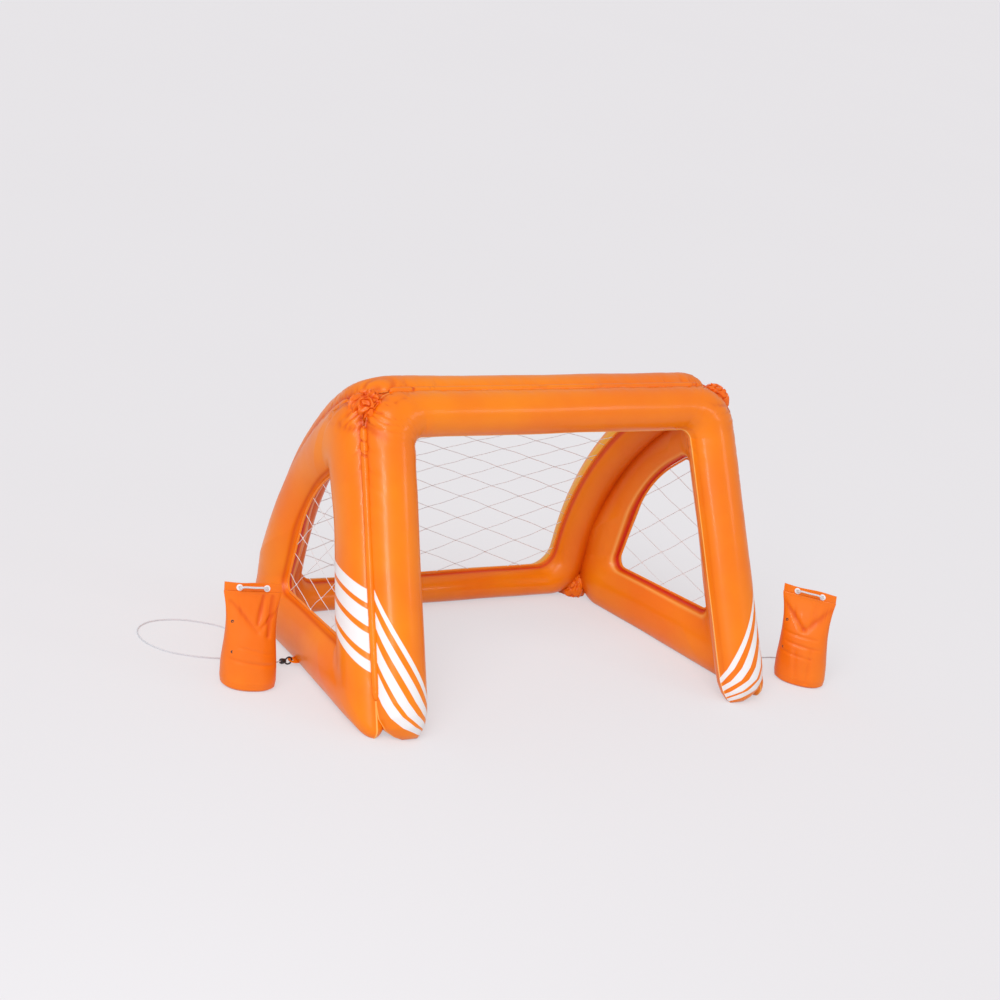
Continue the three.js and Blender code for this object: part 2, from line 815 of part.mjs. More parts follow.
const valveTop = valveFlangeHeight + valveNeckHeight;
function valveSeat() {
  const root = block(
    stopperRootLength, stopperStrapWidth, valveTop, stopperStrapLength, 0, valveTop / 2,
  );
  return round(valveFlangeRadius, -valveSeatDepth, valveFlangeHeight)
    .add(round(valveNeckRadius, 0, valveTop)).add(root)
    .subtract(round(valveBoreRadius, valveTop - valveBoreDepth, valveTop + overrun));
}
// The strap ends over its root, where it bends when the stopper is opened.
function stopper() {
  const low = valveTop + seatGap;
  const strap = block(
    stopperStrapLength, stopperStrapWidth, stopperStrapThickness,
    stopperStrapLength / 2, 0, low + stopperStrapThickness / 2,
  );
  return round(stopperCapRadius, low, low + stopperCapHeight)
    .add(round(stopperPlugRadius, low - stopperPlugLength, low + seatGap)).add(strap);
}

function placed(solid, matrix) {
  return toSolid(toGeometry(solid).applyMatrix4(matrix));
}

function standing(at, normal, along) {
  const z = normal.clone().normalize();
  const x = along.clone().addScaledVector(z, -along.dot(z)).normalize();
  const y = new THREE.Vector3().crossVectors(z, x);
  return new THREE.Matrix4().makeBasis(x, y, z).setPosition(at);
}

function addValve(name, matrix, room) {
  addPiece(`${name}_valve_seat`, toGeometry(cutBy(placed(valveSeat(), matrix), room)), 'clear');
  addPiece(`${name}_valve_stopper`, toGeometry(placed(stopper(), matrix)), 'clear');
}

// The place on a panel's skin, found with a thin probe along the normal
function onPanel(panel, surface, flat, face, along) {
  const normal = surface.normal(flat).clone().multiplyScalar(face);
  const middle = standing(surface.place(flat), normal, along);
  const probe = placed(round(probeRadius, 0, crossbarWidth), middle);
  const core = placed(panel.intersect(probe), middle.clone().invert());
  return middle.multiply(new THREE.Matrix4().makeTranslation(0, 0, core.boundingBox().max[2]));
}
const valvePlaces = {};
valvePlaces.arch = onPanel(
  arch, archSurface, new THREE.Vector2(footX - archValveInset, archValveHeight), -1,
  new THREE.Vector3(0, 0, 1),
);
const sideValveAt = new THREE.Vector2(
  THREE.MathUtils.lerp(footY, topWeldY, sideValveHeight / topWeldZ)
    + sideValveInset * Math.hypot(1, (topWeldY - footY) / topWeldZ),
  sideValveHeight,
);
for (const sign of [-1, 1]) {
  valvePlaces[sideNames[sign]] = onPanel(
    sides[sign], sideSurface(sign), sideValveAt, -1, new THREE.Vector3(0, 0, 1),
  );
}
valvePlaces.back = onPanel(
  back, backSurface, new THREE.Vector2(backValveX, profileLength - backBottomWidth / 2), 1,
  new THREE.Vector3(1, 0, 0),
);
addValve('arch', valvePlaces.arch, archRoom);
addValve('left', valvePlaces.left, sideRooms[0]);
addValve('right', valvePlaces.right, sideRooms[1]);
addValve('back', valvePlaces.back, backRoom);

// Tie tabs and cord clips, modelled with the tab pointing along +X

const tabSolid = () => {
  const low = -tabThickness / 2;
  const plateShape = block(tabReach, tabWidth, tabThickness, tabReach / 2, 0, 0);
  return plateShape.subtract(
    round(tabHoleRadius, low - overrun, -low + overrun, tabReach - tabHoleInset),
  );
};
// The ring is pulled out until its wire lies against the rim of the hole.
const rimReach = tabHoleRadius * Math.cos(Math.PI / smallSides);
const ringPlace = tabReach - tabHoleInset + rimReach - seatGap * 2 - clipWireRadius
  + clipRingRadius;
const barrelStart = ringPlace + clipRingRadius;
const barrelEnd = barrelStart + clipBarrelLength;
const cordStart = barrelEnd - clipHoleDepth + seatGap;
function clip() {
  const ring = new THREE.TorusGeometry(clipRingRadius, clipWireRadius, beadSides, smallSides);
  ring.rotateX(Math.PI / 2).translate(ringPlace, 0, 0);
  const along = (radius, from, to) => {
    const rod = new THREE.CylinderGeometry(radius, radius, to - from, smallSides);
    return toSolid(rod.rotateZ(Math.PI / 2).translate((from + to) / 2, 0, 0));
  };
  const hole = along(tetherDiameter / 2 + clipHoleRoom, barrelEnd - clipHoleDepth, barrelEnd + overrun);
  return toSolid(ring).add(along(clipBarrelRadius, barrelStart, barrelEnd)).subtract(hole);
}
function tie(name, matrix, room) {
  addPiece(`${name}_tie_tab`, toGeometry(cutBy(placed(tabSolid(), matrix), room)), 'vinylDark');
  addPiece(`${name}_cord_clip`, toGeometry(placed(clip(), matrix)), 'black');
}
function lying(x, y, heading) {
  return new THREE.Matrix4().makeRotationZ(heading).setPosition(x, y, tabHeight);
}

const tabRoot = (sign) => sign * (seamX(tabY, tabHeight) + tabRootReach);
tie('left', lying(tabRoot(-1), tabY, Math.PI), sideRooms[0]);
tie('right', lying(tabRoot(1), tabY, 0), sideRooms[1]);

// Ballast bags: a shell that narrows to a flat top, which is folded over into a strip

function bagLoft(grow) {
  const rings = bagLevelShares.map((share, i) => {
    const pinch = bagPinchShares[i];
    const width = THREE.MathUtils.lerp(bagBaseWidth, bagTopWidth, share) * bagWidthShares[i];
    const depth = THREE.MathUtils.lerp(bagBaseDepth, bagTopDepth, pinch) * bagDepthShares[i];
    const ring = [];
    for (let j = 0; j < bagSides; j += 1) {
      const angle = (2 * Math.PI * j) / bagSides;
      const z = share * bagHeight + (i === 0 ? -grow : 0) + (share === 1 ? grow : 0);
      ring.push(new THREE.Vector3(
        (width / 2 + grow) * Math.cos(angle), (depth / 2 + grow) * Math.sin(angle), z,
      ));
    }
    return ring;
  });
  return toSolid(loft(rings, false));
}

function addBag(name, place, turn, tieHeading) {
  const lean = bagLean / bagHeight;
  const leanTurn = THREE.MathUtils.degToRad(bagLeanTurn - turn);
  const shear = new THREE.Matrix4().makeShear(
    0, 0, 0, 0, lean * Math.cos(leanTurn), lean * Math.sin(leanTurn),
  );
  const stand = new THREE.Matrix4().makeRotationZ(THREE.MathUtils.degToRad(turn));
  stand.setPosition(place[0], place[1], 0);
  const matrix = stand.multiply(shear);
  const shellRoom = placed(bagLoft(seatGap), matrix);
  addPiece(`${name}_bag_shell`, toGeometry(placed(bagLoft(0), matrix)), 'vinyl');
  const foldWidth = bagTopWidth - bagFoldThickness;
  const foldLow = bagHeight + seatGap * 2;
  const fold = placed(block(
    foldWidth, bagFoldThickness, bagFoldHeight, 0, 0, foldLow + bagFoldHeight / 2,
  ), matrix);
  addPiece(`${name}_bag_fold`, toGeometry(fold), 'vinyl');

  // Eyelets and the handle between them, on the front of the fold
  const eyeletZ = foldLow + bagFoldHeight - eyeletDrop - eyeletRadius / 2;
  const faceY = -bagFoldThickness / 2 - seatGap;
  for (const [end, sign] of [['inner', -1], ['outer', 1]]) {
    const disc = new THREE.CylinderGeometry(eyeletRadius, eyeletRadius, eyeletHeight, smallSides);
    disc.translate(sign * (eyeletSpacing / 2), faceY - eyeletHeight / 2, eyeletZ);
    const hole = new THREE.CylinderGeometry(eyeletHoleRadius, eyeletHoleRadius, eyeletHeight, smallSides);
    hole.translate(sign * (eyeletSpacing / 2), faceY - eyeletHeight / 2 - seatGap * 2, eyeletZ);
    const solid = toSolid(disc).subtract(toSolid(hole));
    addPiece(`${name}_bag_${end}_eyelet`, toGeometry(placed(solid, matrix)), 'white');
  }
  const handleY = faceY - eyeletHeight + seatGap;
  const half = eyeletSpacing / 2;
  const handlePath = [
    [-half, handleY, 0], [-half, handleY - handleReach / 2, 0],
    [-half + handleReach, handleY - handleReach, handleRise],
    [0, handleY - handleReach, handleRise],
    [half - handleReach, handleY - handleReach, handleRise],
    [half, handleY - handleReach / 2, 0], [half, handleY, 0],
  ].map(([x, y, z]) => new THREE.Vector3(x, y, z + eyeletZ));
  const handle = toSolid(tube(handlePath, handleDiameter / 2, beadSides, handleSteps));
  addPiece(`${name}_bag_handle`, toGeometry(placed(handle, matrix)), 'white');

  // Two studs near the left edge of the front
  studLevels.forEach((level, i) => {
    const stud = new THREE.CylinderGeometry(studRadius, studRadius, bagBaseDepth, smallSides);
    stud.translate(-bagBaseWidth / 2 + studInset, -bagBaseDepth / 2, level);
    const reach = bagLoft(studHeight).subtract(bagLoft(seatGap));
    const solid = mainPart(toSolid(stud).intersect(reach));
    const which = ['lower', 'upper'][i];
    addPiece(`${name}_bag_${which}_stud`, toGeometry(placed(solid, matrix)), 'black');
  });

  // Filling valve on the back
  const back = bagDepthAt(fillerLevel) / 2;
  const fillerPlace = matrix.clone().multiply(standing(
    new THREE.Vector3(0, back, fillerLevel), new THREE.Vector3(0, 1, fillerTilt),
    new THREE.Vector3(0, 0, 1),
  ));
  addValve(`${name}_bag`, fillerPlace, shellRoom);

  const heading = THREE.MathUtils.degToRad(tieHeading);
  const reach = bagTieReach;
  tie(`${name}_bag`, lying(
    place[0] + reach * Math.cos(heading), place[1] + reach * Math.sin(heading), heading,
  ), shellRoom);
}

function bagDepthAt(level) {
  const share = level / bagHeight;
  const i = bagLevelShares.findIndex((s) => s >= share);
  const [low, high] = [bagLevelShares[i - 1], bagLevelShares[i]];
  const pinch = THREE.MathUtils.mapLinear(
    share, low, high, bagPinchShares[i - 1], bagPinchShares[i],
  );
  return THREE.MathUtils.lerp(bagBaseDepth, bagTopDepth, pinch);
}

addBag('left', leftBagPlace, leftBagTurn, leftTieHeading);
addBag('right', rightBagPlace, rightBagTurn, rightTieHeading);

// Tether cords, from the clip on the frame to the clip on the bag

const leftRoute = [
  [-672.6, 50, 13], [-682.6, 50, 12.9], [-694.6, 53, 9.4], [-706, 65, 4], [-710, 94, 2.3],
  [-705, 150, 2.3], [-700, 226, 2.3], [-716, 300, 2.3], [-776, 350, 2.3], [-842, 372, 2.3],
  [-914, 366, 2.3], [-966, 326, 2.3], [-984, 262, 2.3], [-958, 194, 2.3], [-900, 148, 2.3],
  [-840, 122, 2.3], [-794, 110, 2.5], [-772, 95, 5], [-767, 78, 10], [-772.1, 64.3, 12.9],
  [-777.1, 55.6, 13],
];
const rightRoute = [
  [672.6, 50, 13], [682.6, 50, 12.9], [694.6, 51, 9.4], [709, 57, 4], [730, 73, 2.3],
  [749, 104, 2.3], [744, 146, 2.3], [708, 170, 2.3], [672, 154, 2.3], [664, 118, 2.3],
  [684, 86, 4.4], [724, 78, 6.8], [762, 94, 2.3], [794, 78, 2.3], [804, 20, 2.3],
  [792, -60, 2.3], [798, -130, 2.3], [824, -172, 2.3], [864, -180, 2.3], [890, -183, 2.4],
  [903, -192, 4.4], [906, -206, 9.4], [904.0, -222.1, 12.9], [901.4, -231.8, 13],
];
function addTether(name, route) {
  const points = route.map((p) => new THREE.Vector3(...p));
  const geometry = tube(points, tetherDiameter / 2, tetherSides, tetherSteps);
  addPiece(`${name}_tether`, toGeometry(toSolid(geometry)), 'cord');
}
addTether('left', leftRoute);
addTether('right', rightRoute);

export default goal;
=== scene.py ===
# %% [markdown]
# An inflatable water polo goal stands on a pale floor with its two ballast bags.
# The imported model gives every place. It is loaded first and never moved, and each soft
# panel, net, bag and cord is then modelled again with its real folds and finish.

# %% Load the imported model
import math

import bpy
import numpy as np
from mathutils import Matrix, Vector, noise


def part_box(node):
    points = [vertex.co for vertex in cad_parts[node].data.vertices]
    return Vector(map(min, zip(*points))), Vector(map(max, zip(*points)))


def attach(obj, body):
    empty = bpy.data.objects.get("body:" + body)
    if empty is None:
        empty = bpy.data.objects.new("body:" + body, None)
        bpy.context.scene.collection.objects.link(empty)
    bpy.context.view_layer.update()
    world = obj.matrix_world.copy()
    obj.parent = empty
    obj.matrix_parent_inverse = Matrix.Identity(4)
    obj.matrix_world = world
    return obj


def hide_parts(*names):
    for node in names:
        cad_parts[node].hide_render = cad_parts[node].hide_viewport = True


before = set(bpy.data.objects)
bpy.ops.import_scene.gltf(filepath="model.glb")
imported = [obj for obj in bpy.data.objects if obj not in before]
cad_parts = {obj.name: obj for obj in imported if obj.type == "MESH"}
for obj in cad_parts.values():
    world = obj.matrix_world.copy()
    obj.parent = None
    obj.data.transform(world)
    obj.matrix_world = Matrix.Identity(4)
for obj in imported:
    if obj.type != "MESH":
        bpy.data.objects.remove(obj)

# Noise vectors start from the clock unless a seed is set.
noise.seed_set(11)
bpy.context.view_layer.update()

# %% [markdown]
# The camera comes first, because the cords are judged by what it sees. It stands to the
# left in front of the goal, looks down by about 20 degrees and is rolled by 12, as the
# goal is tilted in the photograph. A small shift takes up the off-centre framing.

# %% Camera
camera_data = bpy.data.cameras.new("camera")
camera = bpy.data.objects.new("camera", camera_data)
bpy.context.scene.collection.objects.link(camera)
camera_place = (-4.36994, -5.29667, 2.83005)
camera_heading, camera_dip, camera_roll = 39.66233, 19.54111, 12.19913
camera.matrix_world = (
    Matrix.Translation(camera_place)
    @ Matrix.Rotation(-math.radians(camera_heading), 4, "Z")
    @ Matrix.Rotation(math.radians(90 - camera_dip), 4, "X")
    @ Matrix.Rotation(math.radians(camera_roll), 4, "Z")
)
camera_data.sensor_width = 36
camera_data.lens = 94.61
camera_data.shift_x = -0.0277
camera_data.shift_y = 0.0275
bpy.context.scene.camera = camera
print("camera lens", camera_data.lens)

# %% [markdown]
# Shader sums are written as plain sums. Wire wraps a socket, so that 1 - mask adds its
# Math node by itself. Finish holds one material with its shader, and its method add is
# the one way to any other node.


# %% Shader helpers
class Wire:
    def __init__(self, finish, socket):
        self.finish = finish
        self.socket = socket

    def reckon(self, operation, *values):
        return self.finish.add("ShaderNodeMath", {"operation": operation}, dict(enumerate(values)))

    def __add__(self, other):
        return self.reckon("ADD", self, other)

    __radd__ = __add__

    def __sub__(self, other):
        return self.reckon("SUBTRACT", self, other)

    def __rsub__(self, other):
        return self.reckon("SUBTRACT", other, self)

    def __mul__(self, other):
        return self.reckon("MULTIPLY", self, other)

    __rmul__ = __mul__

    def step(self, low, high):
        """0 below low, 1 above high, smooth between."""
        return self.finish.add(
            "ShaderNodeMapRange", {"interpolation_type": "SMOOTHSTEP"},
            {"Value": self, "From Min": low, "From Max": high},
        )


class Finish:
    def __init__(self, name, **constants):
        self.material = bpy.data.materials.new(name)
        self.material.use_nodes = True
        self.tree = self.material.node_tree
        self.shader = self.tree.nodes["Principled BSDF"]
        for socket, value in constants.items():
            self.shader.inputs[socket.replace("_", " ")].default_value = value
        self.place = self.add("ShaderNodeTexCoord", out="Object")

    def add(self, kind, settings=None, sockets=None, out=0):
        made = self.tree.nodes.new(kind)
        for name, value in (settings or {}).items():
            setattr(made, name, value)
        for name, value in (sockets or {}).items():
            self.join(made.inputs[name], value)
        return Wire(self, made.outputs[out])

    def join(self, socket, value):
        if isinstance(value, Wire):
            self.tree.links.new(value.socket, socket)
        else:
            socket.default_value = value

    def mix(self, share, first, second):
        """A blend of two colours; the Mix node has its colour sockets at 6 and 7."""
        return self.add(
            "ShaderNodeMix", {"data_type": "RGBA"}, {0: share, 6: first, 7: second}, out=2,
        )

    def noise(self, scale, detail=3.0, roughness=0.5):
        return self.add(
            "ShaderNodeTexNoise", {},
            {"Vector": self.place, "Scale": scale, "Detail": detail, "Roughness": roughness},
        )

    def attribute(self, name):
        return self.add("ShaderNodeAttribute", {"attribute_name": name}, out="Fac")

    def axes(self):
        parts = self.add("ShaderNodeSeparateXYZ", {}, {0: self.place})
        return [Wire(self, socket) for socket in parts.socket.node.outputs]

    def bump(self, height, strength, distance):
        return self.add(
            "ShaderNodeBump", {},
            {"Height": height, "Strength": strength, "Distance": distance},
        )

    def set(self, **links):
        for name, value in links.items():
            self.join(self.shader.inputs[name.replace("_", " ")], value)
        return self.material


def shade(red, green, blue):
    """A colour as it shows, turned into the linear numbers that a shader takes."""
    turned = [
        c / 12.92 if c <= 0.04045 else ((c + 0.055) / 1.055) ** 2.4
        for c in (red / 255, green / 255, blue / 255)
    ]
    return (*turned, 1.0)


# %% [markdown]
# Each tether is a limp white cord, 4 mm thick, that runs from the black clip on a side
# frame to the clip on its bag. The left one lies in the open loop that the photograph
# begins to show. The right one takes its spare length behind the right side frame.
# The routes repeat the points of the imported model, in metres.

# %% Cord routes
on_floor = 0.0023
tether_routes = {
    "left": [
        (-0.6726, 0.050, 0.013), (-0.6826, 0.050, 0.0129), (-0.6946, 0.053, 0.0094),
        (-0.706, 0.065, 0.004), (-0.710, 0.094, on_floor), (-0.705, 0.150, on_floor),
        (-0.700, 0.226, on_floor), (-0.716, 0.300, on_floor), (-0.776, 0.350, on_floor),
        (-0.842, 0.372, on_floor), (-0.914, 0.366, on_floor), (-0.966, 0.326, on_floor),
        (-0.984, 0.262, on_floor), (-0.958, 0.194, on_floor), (-0.900, 0.148, on_floor),
        (-0.840, 0.122, on_floor), (-0.794, 0.110, 0.0025), (-0.772, 0.095, 0.005),
        (-0.767, 0.078, 0.010), (-0.7721, 0.0643, 0.0129), (-0.7771, 0.0556, 0.013),
    ],
    "right": [
        (0.6726, 0.050, 0.013), (0.6826, 0.050, 0.0129), (0.6946, 0.051, 0.0094),
        (0.709, 0.057, 0.004), (0.730, 0.073, on_floor), (0.749, 0.104, on_floor),
        (0.744, 0.146, on_floor), (0.708, 0.170, on_floor), (0.672, 0.154, on_floor),
        (0.664, 0.118, on_floor), (0.684, 0.086, 0.0044), (0.724, 0.078, 0.0068),
        (0.762, 0.094, on_floor), (0.794, 0.078, on_floor), (0.804, 0.020, on_floor),
        (0.792, -0.060, on_floor), (0.798, -0.130, on_floor), (0.824, -0.172, on_floor),
        (0.864, -0.180, on_floor), (0.890, -0.183, 0.0024), (0.903, -0.192, 0.0044),
        (0.906, -0.206, 0.0094), (0.904, -0.2221, 0.0129), (0.9014, -0.2318, 0.013),
    ],
}
tether_diameter = 0.004


def smooth_line(points, spacing):
    """A centripetal curve through the points, sampled at about that spacing."""
    p = np.array(points, float)
    p = np.vstack([2 * p[0] - p[1], p, 2 * p[-1] - p[-2]])
    knots = np.concatenate([[0], np.cumsum(np.linalg.norm(np.diff(p, axis=0), axis=1) ** 0.5)])
    line = []
    for i in range(1, len(p) - 2):
        t0, t1, t2, t3 = knots[i - 1:i + 3]
        steps = max(2, int(np.linalg.norm(p[i + 1] - p[i]) / spacing))
        t = np.linspace(t1, t2, steps, endpoint=False)[:, None]
        a1 = (t1 - t) / (t1 - t0) * p[i - 1] + (t - t0) / (t1 - t0) * p[i]
        a2 = (t2 - t) / (t2 - t1) * p[i] + (t - t1) / (t2 - t1) * p[i + 1]
        a3 = (t3 - t) / (t3 - t2) * p[i + 1] + (t - t2) / (t3 - t2) * p[i + 2]
        b1 = (t2 - t) / (t2 - t0) * a1 + (t - t0) / (t2 - t0) * a2
        b2 = (t3 - t) / (t3 - t1) * a2 + (t - t1) / (t3 - t1) * a3
        line.append((t2 - t) / (t2 - t1) * b1 + (t - t1) / (t2 - t1) * b2)
    line.append(p[-2][None])
    return np.vstack(line)


def run_along(line):
    """The way from the start of a line to each of its points."""
    return np.concatenate([[0], np.cumsum(np.linalg.norm(np.diff(line, axis=0), axis=1))])


def full_turn(sides):
    return np.linspace(0, 2 * math.pi, sides, endpoint=False)


# %% Sheets rolled into tubes
def added(operator, **options):
    """Runs an operator that adds a mesh, and returns the new object."""
    bpy.ops.object.select_all(action="DESELECT")
    operator(**options)
    return bpy.context.object


def joined(objects):
    bpy.ops.object.select_all(action="DESELECT")
    for obj in objects:
        obj.select_set(True)
    bpy.context.view_layer.objects.active = objects[0]
    bpy.ops.object.join()
    return bpy.context.object


def mark(obj, label, values):
    stored = obj.data.attributes.new(label, "FLOAT", "POINT")
    stored.data.foreach_set("value", values.astype(np.float32))


def only(obj):
    """Makes obj the one selected and active object."""
    bpy.ops.object.select_all(action="DESELECT")
    obj.select_set(True)
    bpy.context.view_layer.objects.active = obj
    return obj


def points_of(obj):
    flat = np.empty(len(obj.data.vertices) * 3)
    obj.data.vertices.foreach_get("co", flat)
    return flat.reshape(-1, 3)


def move_points(obj, points):
    obj.data.vertices.foreach_set("co", np.asarray(points, np.float32).ravel())
    obj.data.update()


def rolled(name, rings, closed, marks):
    """Rolls a flat grid into a tube through the rings; a mark is a number for each point."""
    count, sides = rings.shape[:2]
    spans = count if closed else count - 1
    obj = added(
        bpy.ops.mesh.primitive_grid_add, x_subdivisions=spans, y_subdivisions=sides, size=1,
    )
    obj.name = obj.data.name = name
    flat = points_of(obj)
    along = np.rint((flat[:, 0] + 0.5) * spans).astype(int) % count
    around = np.rint((flat[:, 1] + 0.5) * sides).astype(int) % sides
    for label, values in marks.items():
        mark(obj, label, values[along, around])
    move_points(obj, rings[along, around])
    bpy.ops.object.mode_set(mode="EDIT")
    bpy.ops.mesh.select_all(action="SELECT")
    bpy.ops.mesh.remove_doubles(threshold=1e-6)
    if not closed:
        bpy.ops.mesh.select_all(action="SELECT")
        bpy.ops.mesh.fill_holes(sides=0)
    bpy.ops.mesh.select_all(action="SELECT")
    bpy.ops.mesh.normals_make_consistent(inside=False)
    bpy.ops.object.mode_set(mode="OBJECT")
    bpy.ops.object.shade_smooth()
    return obj


def tube_rings(line, radii, sides, closed=False):
    """Rings round a line, turned as little as possible from one to the next."""
    if closed:
        ahead = np.roll(line, -1, 0) - np.roll(line, 1, 0)
    else:
        ahead = np.gradient(line, axis=0)
    ahead /= np.linalg.norm(ahead, axis=1)[:, None]
    side = np.cross(ahead[0], (0.0, 0.0, 1.0))
    if np.linalg.norm(side) < 1e-3:
        side = np.cross(ahead[0], (0.0, 1.0, 0.0))
    turns = full_turn(sides)
    rings = np.empty((len(line), sides, 3))
    for i, direction in enumerate(ahead):
        side = side - direction * np.dot(side, direction)
        side /= np.linalg.norm(side)
        lift = np.cross(direction, side)
        r = radii[i] if np.ndim(radii) else radii
        ring = np.outer(np.cos(turns), side) + np.outer(np.sin(turns), lift)
        rings[i] = line[i] + ring * (r[:, None] if np.ndim(r) else r)
    return rings


def twine_marks(line, sides):
    """The way along and the angle round a tube, which the twist of the twine follows."""
    run = run_along(line)
    return {
        "along": np.repeat(run[:, None], sides, 1),
        "around": np.repeat(full_turn(sides)[None], len(run), 0),
    }


# %% Tethers
strands, lay_length = 3, 0.0035


def make_tether(side):
    line = smooth_line(tether_routes[side], 0.003)
    marks = twine_marks(line, 14)
    twist = np.cos(strands * (marks["around"] - marks["along"] / lay_length))
    radii = tether_diameter / 2 * (0.97 + 0.03 * twist)
    cord = rolled(side + "_tether_cord", tube_rings(line, radii, 14), False, marks)
    return cord, line, run_along(line)[-1]


cords = {}
for side in ("left", "right"):
    cord, line, length = make_tether(side)
    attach(cord, "goal")
    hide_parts(side + "_tether")
    cords[side] = cord
    print(side, "tether", round(length, 3), "m")

# %% [markdown]
# The vinyl is the heart of this object. It is a glossy orange film, a little cloudy in
# colour, with fine grain and soft ripples. A deeper red where a fold shuts the light out is
# painted shade, and pale lines along the welds are painted highlights.
# The folds are real moves of the mesh, and a number kept on each point says how deep it
# lies in a fold. The white stripes on the feet are printed, so they follow the place on
# the object and are flat and slightly less glossy.

# %% Vinyl colours
orange = shade(247, 136, 2)
warm_orange = shade(240, 116, 4)
# These four colours are painted light: shade in folds, shade beside the windows, a highlight on
# the seams and a sunlit gold.
painted_shade_red = shade(198, 40, 10)
painted_shade_crimson = shade(206, 14, 16)
painted_seam_highlight = shade(255, 196, 104)
sunlit = shade(246, 200, 48)
print_white = shade(238, 235, 236)
stripe_edge = 0.0012


def vinyl(name, stripes=None, light=orange, warm=warm_orange, gloss=0.3, shut=0.8):
    finish = Finish(name, IOR=1.5, Specular_IOR_Level=0.28, Coat_Roughness=0.12)
    clouds = finish.noise(3.2, 4).step(0.3, 0.72)
    colour = finish.mix(clouds, light, warm)
    # The pale colour along the weld edges is a painted highlight.
    weld = finish.attribute("weld")
    colour = finish.mix(weld.step(0.1, 0.7) * 0.75, colour, painted_seam_highlight)
    # The sunlit gold on the inner half of the back's outer sheet is painted light.
    colour = finish.mix(finish.attribute("painted_sunlit_band").step(0.0, 1.0) * 0.6, colour, sunlit)
    # Deep red in folds, grooves and crumples is painted shade.
    crease_shade = finish.attribute("crease_shade")
    colour = finish.mix(crease_shade.step(0.12, 0.95) * shut, colour, painted_shade_red)
    # Crimson beside the windows and in the rear crevices is painted shade.
    colour = finish.mix(finish.attribute("dim").step(0.15, 0.9) * 0.9, colour, painted_shade_crimson)
    grain = finish.noise(420, 2)
    ripple = finish.noise(26, 3, 0.55)
    rough = gloss + 0.1 * finish.noise(9, 3).step(0.3, 0.7) + 0.05 * grain
    if stripes:
        mask = stripes(finish)
        colour = finish.mix(mask, colour, print_white)
        rough = rough + 0.12 * mask
    height = ripple * 0.6 + grain * 0.06 + weld * 0.3
    return finish.set(
        Base_Color=colour, Roughness=rough, Coat_Weight=0.18 - 0.15 * crease_shade.step(0.1, 0.8),
        Normal=finish.bump(height, 0.22, 0.004),
    )


# %% [markdown]
# The printed stripes are four white bands. On the front of a post they drop steeply from
# the outer seam to the tip of the foot; on the side frame they go on almost level. They
# are straight on the flat film, so they are reckoned from the way across the film that
# each point of a panel carries as a number.

# %% Stripe masks
post_bands = ((0.346, 0.369), (0.281, 0.318), (0.203, 0.249), (0.124, 0.179))
side_bands = ((0.3125, 0.345), (0.2595, 0.2985), (0.1975, 0.243), (0.155, 0.181))


def bands(level, edges):
    mask = None
    for low, high in edges:
        band = level.step(low - stripe_edge, low + stripe_edge)
        band = band - level.step(high - stripe_edge, high + stripe_edge)
        mask = band if mask is None else mask + band
    return mask


def post_stripes(finish):
    _, _, z = finish.axes()
    across = finish.attribute("across")
    return bands(z + across * 1.5, post_bands) * across.step(0.0, 0.002)


def side_stripes(finish):
    _, y, z = finish.axes()
    across = finish.attribute("across")
    front_bar = 1 - (y - z * 0.5175).step(-0.236, -0.230)
    level = z - across * 0.3 + across * across * (z - 0.15) * 4
    return bands(level, side_bands) * across.step(0.0, 0.002) * front_bar


post_vinyl = vinyl("orange_vinyl_post", post_stripes)
side_vinyl = vinyl("orange_vinyl_side", side_stripes)
plain_vinyl = vinyl("orange_vinyl")
# The gussets take a slightly darker orange copy of the vinyl, painted shade for the crumpled film.
dark_vinyl = vinyl(
    "folded_vinyl", light=shade(243, 124, 6), warm=shade(236, 100, 6), gloss=0.34, shut=0.6,
)
bag_vinyl = vinyl(
    "bag_vinyl", light=shade(247, 130, 10), warm=shade(240, 112, 8), gloss=0.42, shut=0.5,
)
print("vinyl finishes", [m.name for m in bpy.data.materials])

# %% [markdown]
# Three small plastics and the twine complete the set: white for the eyelets, black for
# studs and clips, a soft cloudy one for the valves, and twisted twine whose twist follows
# the marks that the tubes carry.

# %% Plastic and twine
full_circle = 6.2832


def plastic(name, colour, worn, rough):
    finish = Finish(name, IOR=1.48)
    cloud = finish.noise(60, 3).step(0.3, 0.7)
    speck = finish.noise(900, 2)
    return finish.set(
        Base_Color=finish.mix(cloud * 0.6, colour, worn), Roughness=rough + 0.12 * cloud,
        Normal=finish.bump(speck + cloud * 0.5, 0.15, 0.0006),
    )


def twine(name, colour, shadow, pitch):
    finish = Finish(name, IOR=1.45, Sheen_Weight=0.2)
    along, around = finish.attribute("along"), finish.attribute("around")
    strand = along * (full_circle * strands / pitch) - around * strands
    lay = strand.reckon("SINE", strand) * 0.5 + 0.5
    fuzz = finish.noise(1400, 2)
    colour = finish.mix(lay * 0.8 + 0.2 * fuzz, shadow, colour)
    colour = finish.mix(finish.attribute("hem"), colour, orange)
    return finish.set(
        Base_Color=colour, Roughness=0.72 + 0.15 * fuzz,
        Normal=finish.bump(lay + fuzz * 0.4, 0.5, 0.0005),
    )


white_plastic = plastic("white_plastic", shade(242, 242, 244), shade(222, 222, 226), 0.32)
black_plastic = plastic("black_plastic", shade(34, 34, 38), shade(58, 57, 60), 0.38)
clear_vinyl = plastic("soft_vinyl", shade(247, 242, 232), shade(236, 228, 212), 0.22)
clear_vinyl.node_tree.nodes["Principled BSDF"].inputs["Transmission Weight"].default_value = 0.08
cord_twine = twine("cord_twine", shade(234, 234, 239), shade(184, 185, 192), 0.0105)
net_twine = twine("net_twine", shade(246, 245, 246), shade(214, 212, 216), 0.008)
for cord in cords.values():
    cord.data.materials.append(cord_twine)
print("small finishes ready")

